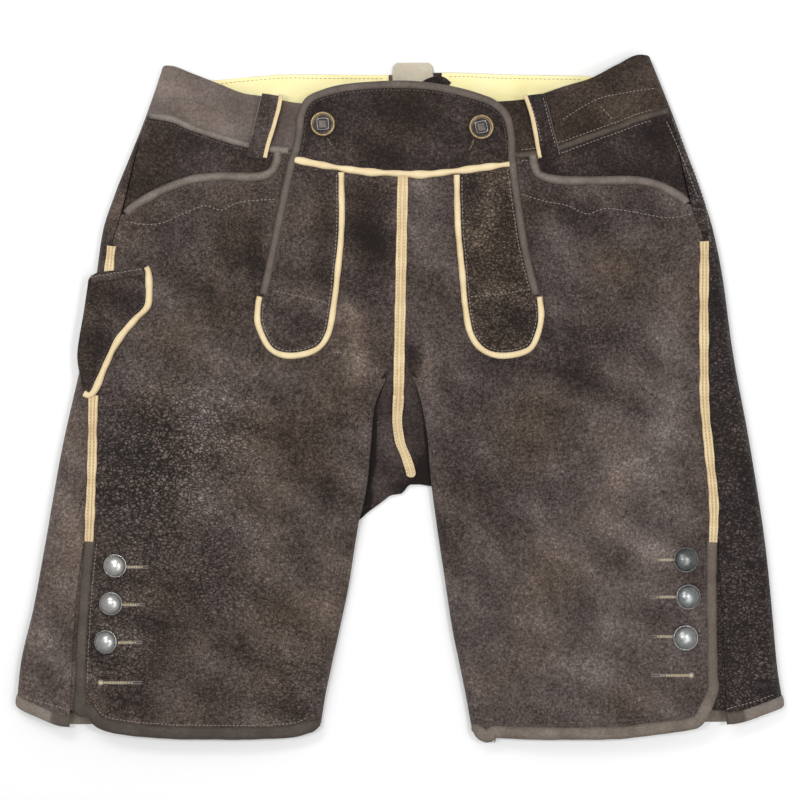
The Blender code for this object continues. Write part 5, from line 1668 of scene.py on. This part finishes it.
def side_stitches(side, grey, dark, pale):
    """The rows of stitches on one side, added to the lists of their colours."""
    sign = SIDES[side]
    on_left = side == "left"
    at_leg, at_waist = (grey, dark) if on_left else (dark, grey)
    dark.append(sewn(beside(mouth_line(side, 0, 300), -sign * 5.0), 0.0))
    grey.append(sewn(line(POCKET_WAVES[side], 300), 0.0, pitch=3.4))
    hem = beside(line(HEM_FRONT[side], 300), -(HEM_WIDTH + 1.4))
    at_leg.append(sewn(hem[20:-6] if on_left else hem[6:-20], 0.05))
    vent_foot = HEM_FRONT[side]["y"][0 if on_left else -1] + 10
    vent = down(VENT, "front_" + side, VENT_TOP_Y - 1, vent_foot, 200)
    at_leg.append(sewn(vent - [sign * (STRIP_WIDTH / 2 + 1.6), 0], 0.05))
    beside_piping = beside(line(TONGUE_PIPING[side], 400), -sign * (PIPING_WIDTH / 2 + 1.3))
    grey.append(sewn(beside_piping[4:-8], ON_FLAP))
    bound = down(FLAP_SIDE, side, foot_y(sign * FLAP_END_X) - 4, 88, 200)
    at_waist.append(sewn(bound - [sign * (EDGE_WIDTH + 1.4), 0], ON_FLAP))
    grey.append(sewn(line(TONGUE_BARS[side], 100), ON_FLAP))
    x = np.linspace(sign * 206, sign * 98, 200)
    low = band_edge(side, "low", x)
    at_waist.append(sewn(plan(x, low - 4.6), 0.0))
    if not on_left:
        grey.append(sewn(plan(x, low + 4.4), 0.0))
    at_waist.append(sewn(line(WAIST_WAVES[side], 200), 0.0))
    # Down the belt loop: how far from its middle, the thread, how high it stands and its pitch.
    rows = [(sign * 8.4, pale, 1.35, 1.5)]
    if not on_left:
        rows += [(-3.6, grey, 1.65, 3.1), (6.8, grey, 1.65, 3.1)]
    t = np.linspace(0.02, 0.98, 60)[:, None]
    top, foot = plan(LOOP[side], LOOP["y"])
    for shift, thread, lift, pitch in rows:
        route = top * (1 - t) + foot * t + np.array([shift, LOOP_SLANT * sign * shift])
        thread.append(sewn(route, lambda s, lift=lift: loop_rise(s) + lift, pitch=pitch, wander=0.05))
    grey.append(sewn(line(BACK_HEM_ROWS[side], 60), 0.1))


def all_stitches():
    """The rows of stitches, by the colour that their thread shows."""
    grey, dark, pale, tan = [], [], [], []
    for side in SIDES:
        side_stitches(side, grey, dark, pale)
    arch = beside(flap_outline(500), EDGE_WIDTH + 1.3)
    dark.append(sewn(arch[arch[:, 1] > 200], ON_FLAP))
    for start, end, lift in ((182, 2, 1.8), (0.0, -63, 2.3)):
        for distance in (-2.6, 2.6):
            tan.append(sewn(beside(down(CROTCH, "x", start, end), distance), lift, crotch_surface, pitch=2.8))
    for side, start, end in (("left", 2, -116), ("right", 128, -117), ("left", 125, 108)):
        for distance in (-1.9, 1.9):
            tan.append(sewn(beside(down(SIDE_SEAM, side, start, end), distance), 1.7, pitch=2.8))
    for row in (SEAM_TACK, *BACK_TOPSTITCH):
        grey.append(sewn(line(row, 30 if row is SEAM_TACK else 100), 0.0))
    for row in GUSSET_ROWS:
        dark.append(sewn(line(row, 30), 0.0, gusset_surface))
    grey.append(sewn(beside(line(SHEATH_BAND, 60), -2.0), 4.75, sheath_surface))
    pale.append(sewn(line(SHEATH_WORN_EDGE, 60), 2.4, sheath_surface, pitch=1.5, wander=0.05))
    dark.append(sewn(beside(line(SHEATH_PIPING, 300), PIPING_WIDTH / 2 + 1.2), 3.3, sheath_surface))
    for start, end in ((-160, -14), (40, 150)):
        x = np.linspace(start, end, 200)
        tan.append(sewn(plan(x, back_top(x) - 3.4), 0.0, facing_surface, pitch=3.6))
    return grey, dark, pale, tan


def gusset_surface(x, y):
    """A little below the crotch's highest level, where its rows of stitches lie."""
    return facing_up(x, y, gusset_height(y) - 1.8)


def facing_surface(x, y):
    """The upper side of the pale facing, which looks up out of the waist."""
    return facing_up(x, y, LEATHER + GAP + 1.5 + 0.5 * ripple(x, y, FINE))


def bars(rows, half, lift, pitch=0.75):
    """Short stitches side by side across a slit, as on a worked buttonhole."""
    made = []
    for start, stop in rows:
        start, stop = np.array(start, float), np.array(stop, float)
        count = max(4, round(np.hypot(*(stop - start)) / pitch))
        centre = start + (stop - start) * np.linspace(0, 1, count)[:, None]
        tangent = (stop - start) / np.hypot(*(stop - start))
        aside = np.array([-tangent[1], tangent[0]])
        rng_row = np.random.default_rng(count)
        for way in (-1, 1):
            near = centre + aside * way * 0.25
            far = centre + aside * way * (half + rng_row.normal(0, 0.12, (count, 1)))
            t = np.array([0, 0.3, 0.75, 1])
            points = near[:, None] * (1 - t[None, :, None]) + far[:, None] * t[None, :, None]
            base, outward = on_top(points[..., 0], points[..., 1])
            made.append((base + outward * lift, outward))
    return made


def rays(at, inner, outer, count, lift):
    """Stitches round a buttonhole's eyelet."""
    angles = np.linspace(0, 2 * math.pi, count, endpoint=False)
    aim = np.stack([np.cos(angles), np.sin(angles)], axis=-1)
    t = np.array([0, 0.3, 0.75, 1])
    reach = inner + (outer - inner) * t
    points = np.array(at) + aim[:, None] * reach[None, :, None]
    base, outward = on_top(points[..., 0], points[..., 1])
    return (base + outward * lift, outward)


def buttonholes():
    """The stitches of the buttonholes: their near and far parts, and the thread along each slit."""
    near, far, cores = [], [], []
    for start, stop in HOLES:
        start, stop = np.array(start), np.array(stop)
        share = 0.62
        near += bars([(start, start + (stop - start) * share)], 0.85, 0.25, 0.6)
        far += bars([(start, stop)], 1.6, 0.0, 0.7)
        far += bars([(start + (stop - start) * share, stop)], 1.0, 0.15, 0.7)
        cores.append(sewn(np.linspace(start, start + (stop - start) * 0.8, 30), 0.1, pitch=2.2, wander=0.03))
    for at in EYELETS:
        near.append(rays(at, 0.3, 1.6, 16, 0.3))
        near.append(rays(at, 0.0, 0.8, 8, 0.4))
        far.append(rays(at, 1.2, 2.8, 22, 0.05))
    for start, stop in FLAP_HOLES:
        near += bars([(start, stop)], 0.5, ON_FLAP)
    return near, far, cores


def scuffs():
    """Fine scratches, as thin raised threads of paler suede."""
    vertices, faces, count = [], [], 0
    for number, row in enumerate(SCRATCHES):
        route = line(row, 30)
        width = 0.24 * np.sin(np.pi * np.linspace(0.04, 0.96, 30)) ** 0.7
        width = width * (0.8 + 0.35 * np.sin(np.arange(30) * 1.7 + number))
        lift = ON_FLAP if row in FLAP_SCRATCHES else 0.0
        rails = [beside(route, width), beside(route, -width)]
        for rail, rise in ((rails[0], -0.12), (route, 0.1), (rails[1], -0.12)):
            base, outward = on_top(rail[:, 0], rail[:, 1])
            vertices.append(base + outward * (lift + rise))
        base, outward = on_top(route[:, 0], route[:, 1])
        vertices.append(base + outward * (lift - 0.3))
        at = count + np.arange(120).reshape(4, 30)
        ring = np.concatenate([at, at[:1]])
        faces.append(quads(ring))
        faces.append(np.array([at[:, 0][::-1], at[:, -1]]))
        count += 120
    tone = {"wear_and_shade": 0.8, "warm": 0.3, "grain": 0.0}
    return piece("scuffs", np.concatenate(vertices), faces, SUEDE, [], tone)


# ---------------------------------------------------------------------------------------------
# Buttons


LATHE_SEGMENTS = 72


def lathe(name, profile, at, finish, nodes, lift, wear_and_shade, square=0.0, spin=0.0, tilt=(0, 0)):
    """A turned solid standing on the skin; square rounds it off to a square plan."""
    points, outward = on_top(*at)
    up = outward + np.array([tilt[0], tilt[1], 0])
    up /= np.linalg.norm(up)
    across = np.cross(up, (0, 1, 0))
    across /= np.linalg.norm(across)
    ahead = np.cross(across, up) * -1
    angles = np.linspace(0, 2 * math.pi, LATHE_SEGMENTS, endpoint=False)
    turned_by = angles + spin
    reach = np.ones(LATHE_SEGMENTS)
    if square:
        reach = (np.abs(np.cos(angles)) ** square + np.abs(np.sin(angles)) ** square) ** (-1 / square)
    ring = np.cos(turned_by)[:, None] * across + np.sin(turned_by)[:, None] * ahead
    ring = ring * reach[:, None]
    base = points + up * lift
    levels = [base + ring * radius + up * height for radius, height in profile[1:-1]]
    vertices = np.concatenate([[base + up * profile[0][1]], *levels, [base + up * profile[-1][1]]])
    at_ring = 1 + np.arange(len(levels) * LATHE_SEGMENTS).reshape(len(levels), LATHE_SEGMENTS)
    closed = np.concatenate([at_ring, at_ring[:, :1]], axis=1)
    sides = quads(closed)
    first = np.stack([np.zeros(LATHE_SEGMENTS, int), closed[0, 1:], closed[0, :-1]], axis=-1)
    last = np.stack([closed[-1, :-1], closed[-1, 1:], np.full(LATHE_SEGMENTS, len(vertices) - 1)], axis=-1)
    sides = sides[:, ::-1] if np.dot(np.cross(ring[0], ring[1]), up) > 0 else sides
    return piece(name, vertices, [sides, first, last], finish, nodes, {"wear_and_shade": wear_and_shade})


def arc(start, stop, centre, radius, count=8):
    """Points of a profile along an arc, angles in degrees from straight out."""
    angles = np.radians(np.linspace(start, stop, count))
    return [(centre[0] + radius * math.cos(a), centre[1] + radius * math.sin(a)) for a in angles]


def leg_button(side, number, at):
    """A domed pewter button with a thin turned rim."""
    r = LEG_BUTTON_RADIUS[side]
    dome = [
        (r * 0.95 * math.cos(a), r * (0.16 + 0.66 * math.sin(a))) for a in np.radians(np.linspace(10, 88, 26))
    ]
    rim = arc(-80, 110, (r * 0.955, r * 0.2), r * 0.04, 9)
    profile = [(0, 0), (r * 0.3, 0), (r * 0.3, r * 0.14), (r * 0.9, r * 0.14), *rim, *dome, (0, r * 0.82)]
    tilt = BUTTON_TILTS[side][number - 1]
    wear_and_shade = BUTTON_WEAR[side][number - 1]
    name = f"leg_button_{side}_{number}"
    lathe(name + "_look", profile, at, PEWTER, [name], GAP, wear_and_shade=wear_and_shade, tilt=tilt)


def flap_button(side, at):
    """A bronze ring round a dark well, with a square silver frame and a dark centre in it."""
    ring = arc(-60, 200, (9.1, 2.2), 1.25, 14)
    profile = [(0, 0), (3, 0), (3, 0.6), (8.6, 0.8), *ring, (7.2, 1.5), (4.2, 1.2), (0, 1.1)]
    lift = ON_FLAP
    lathe(f"flap_button_{side}_look", profile, at, BRONZE, ["flap_button_" + side], lift, wear_and_shade=0.62)
    well = [(0, 1.2), (7.3, 1.2), (7.5, 1.6), (7.2, 1.75), (0, 1.8)]
    lathe(f"flap_button_well_{side}", well, at, STONE, [], lift, wear_and_shade=0.1)
    frame_profile = [
        (0, 1.4), (5.2, 1.4), (5.3, 2.4), (5.1, 2.9), (4.8, 3.1), (4.2, 3.0), (3.9, 2.5), (0, 2.5),
    ]
    spin = math.radians(4 if side == "left" else 12)
    lathe(
        f"flap_button_frame_{side}", frame_profile, at, PEWTER, ["flap_button_stud_" + side], lift,
        wear_and_shade=0.3, square=6.0, spin=spin,
    )
    gem = [(0, 2.0), (3.85, 2.0), (3.85, 2.9), (3.4, 3.3), (2.2, 3.5), (0, 3.6)]
    lathe(f"flap_button_gem_{side}", gem, at, STONE, [], lift, wear_and_shade=0.6, square=6.0, spin=spin)


# ---------------------------------------------------------------------------------------------
# The garment

for side in SIDES:
    back_leg(side)
    front_leg(side)
    gusset(side)
    waistband(side)
    facing(side)
    pocket(side)
    stand(side)
    back_hem(side)
    tongue(side)
    belt_loop(side)
    for number, at in enumerate(LEG_BUTTON_AT[side], 1):
        leg_button(side, number, at)
    flap_button(side, FLAP_BUTTON_AT[side])
back_tab()
flap()
sheath()
edges()
grey, dark, pale, tan = all_stitches()
near, far, cores = buttonholes()
threads("stitches_grey", grey, THREAD_GREY, 0.34)
threads("stitches_dark", dark, THREAD_DARK, 0.34)
threads("stitches_sheath", pale, THREAD_GREY, 0.34)
threads("stitches_tan", tan, THREAD_TAN, 0.26)
threads("buttonholes_near", near, THREAD_PALE, 0.3)
threads("buttonholes_far", far, THREAD_GREY, 0.26)
threads("buttonholes_slit", cores, THREAD_PALE, 0.4)
scuffs()

# ---------------------------------------------------------------------------------------------
# Floor, light and camera

FLOOR_SIDE = 8.0
FLOOR_COLOUR = (0.94, 0.94, 0.94)
# The room's light from the horizon up, and the lamps: name, place, size and power.
SKY_STOPS = ((0.1, (0.42, 0.42, 0.43)), (0.9, (1.0, 1.0, 1.0)))
SKY_STRENGTH = 0.68
LAMPS = (
    ("window", (-0.55, 0.85, 1.45), 0.9, 17),
    ("near_left", (-0.42, 0.1, 1.85), 0.09, 7),
    ("near_right", (0.62, 0.1, 1.85), 0.09, 7),
    ("fill", (0.9, -0.8, 1.9), 1.6, 16),
)
CAMERA_HEIGHT = 1.8
VIEW_WIDTH = 0.6596
VIEW_SHIFT = (0.0, -0.0016)
SUBJECT_HEIGHT = 0.014


def floor():
    """A plain white floor, just under the leather."""
    mesh = bpy.data.meshes.new("floor")
    half = FLOOR_SIDE / 2
    corners = [(-half, -half, -0.0005), (half, -half, -0.0005), (half, half, -0.0005), (-half, half, -0.0005)]
    mesh.from_pydata(corners, [], [(0, 1, 2, 3)])
    look = Look("floor", 0.9, specular=0.1)
    tint = look.noise(3, 2, 0.5)
    mesh.materials.append(look.finish(look.ramp(tint, ((0.3, FLOOR_COLOUR), (0.7, FLOOR_COLOUR)))))
    made = bpy.data.objects.new("floor", mesh)
    bpy.context.scene.collection.objects.link(made)


def lamp(name, place, size, power):
    """A soft round lamp aimed at the middle of the floor."""
    data = bpy.data.lights.new(name, "AREA")
    data.shape = "DISK"
    data.size = size
    data.energy = power
    made = bpy.data.objects.new(name, data)
    made.location = place
    aim = 0.0 - np.array(place)
    aim = aim / np.linalg.norm(aim)
    made.rotation_euler = (math.acos(-aim[2]), 0, math.atan2(aim[0], -aim[1]))
    bpy.context.scene.collection.objects.link(made)


def surroundings():
    """The room's even light and the four lamps."""
    world = bpy.data.worlds.new("studio")
    world.use_nodes = True
    tree = world.node_tree
    place = tree.nodes.new("ShaderNodeTexCoord")
    split = tree.nodes.new("ShaderNodeSeparateXYZ")
    band = tree.nodes.new("ShaderNodeValToRGB")
    tree.links.new(place.outputs["Generated"], split.inputs[0])
    tree.links.new(split.outputs["Z"], band.inputs["Fac"])
    for element, (height, colour) in zip(band.color_ramp.elements, SKY_STOPS):
        element.position = height
        element.color = (*colour, 1)
    tree.links.new(band.outputs["Color"], tree.nodes["Background"].inputs["Color"])
    tree.nodes["Background"].inputs["Strength"].default_value = SKY_STRENGTH
    bpy.context.scene.world = world
    for row in LAMPS:
        lamp(*row)


def camera():
    """Straight above, as the photo was taken."""
    data = bpy.data.cameras.new("camera")
    data.sensor_width = 36
    data.lens = data.sensor_width * (CAMERA_HEIGHT - SUBJECT_HEIGHT) / VIEW_WIDTH
    made = bpy.data.objects.new("camera", data)
    middle = (cad_box[0] + cad_box[1]) / 2
    made.location = (middle.x + VIEW_SHIFT[0], middle.y + VIEW_SHIFT[1], CAMERA_HEIGHT)
    bpy.context.scene.collection.objects.link(made)
    bpy.context.scene.camera = made


floor()
surroundings()
camera()
bpy.context.scene.view_settings.view_transform = "Standard"
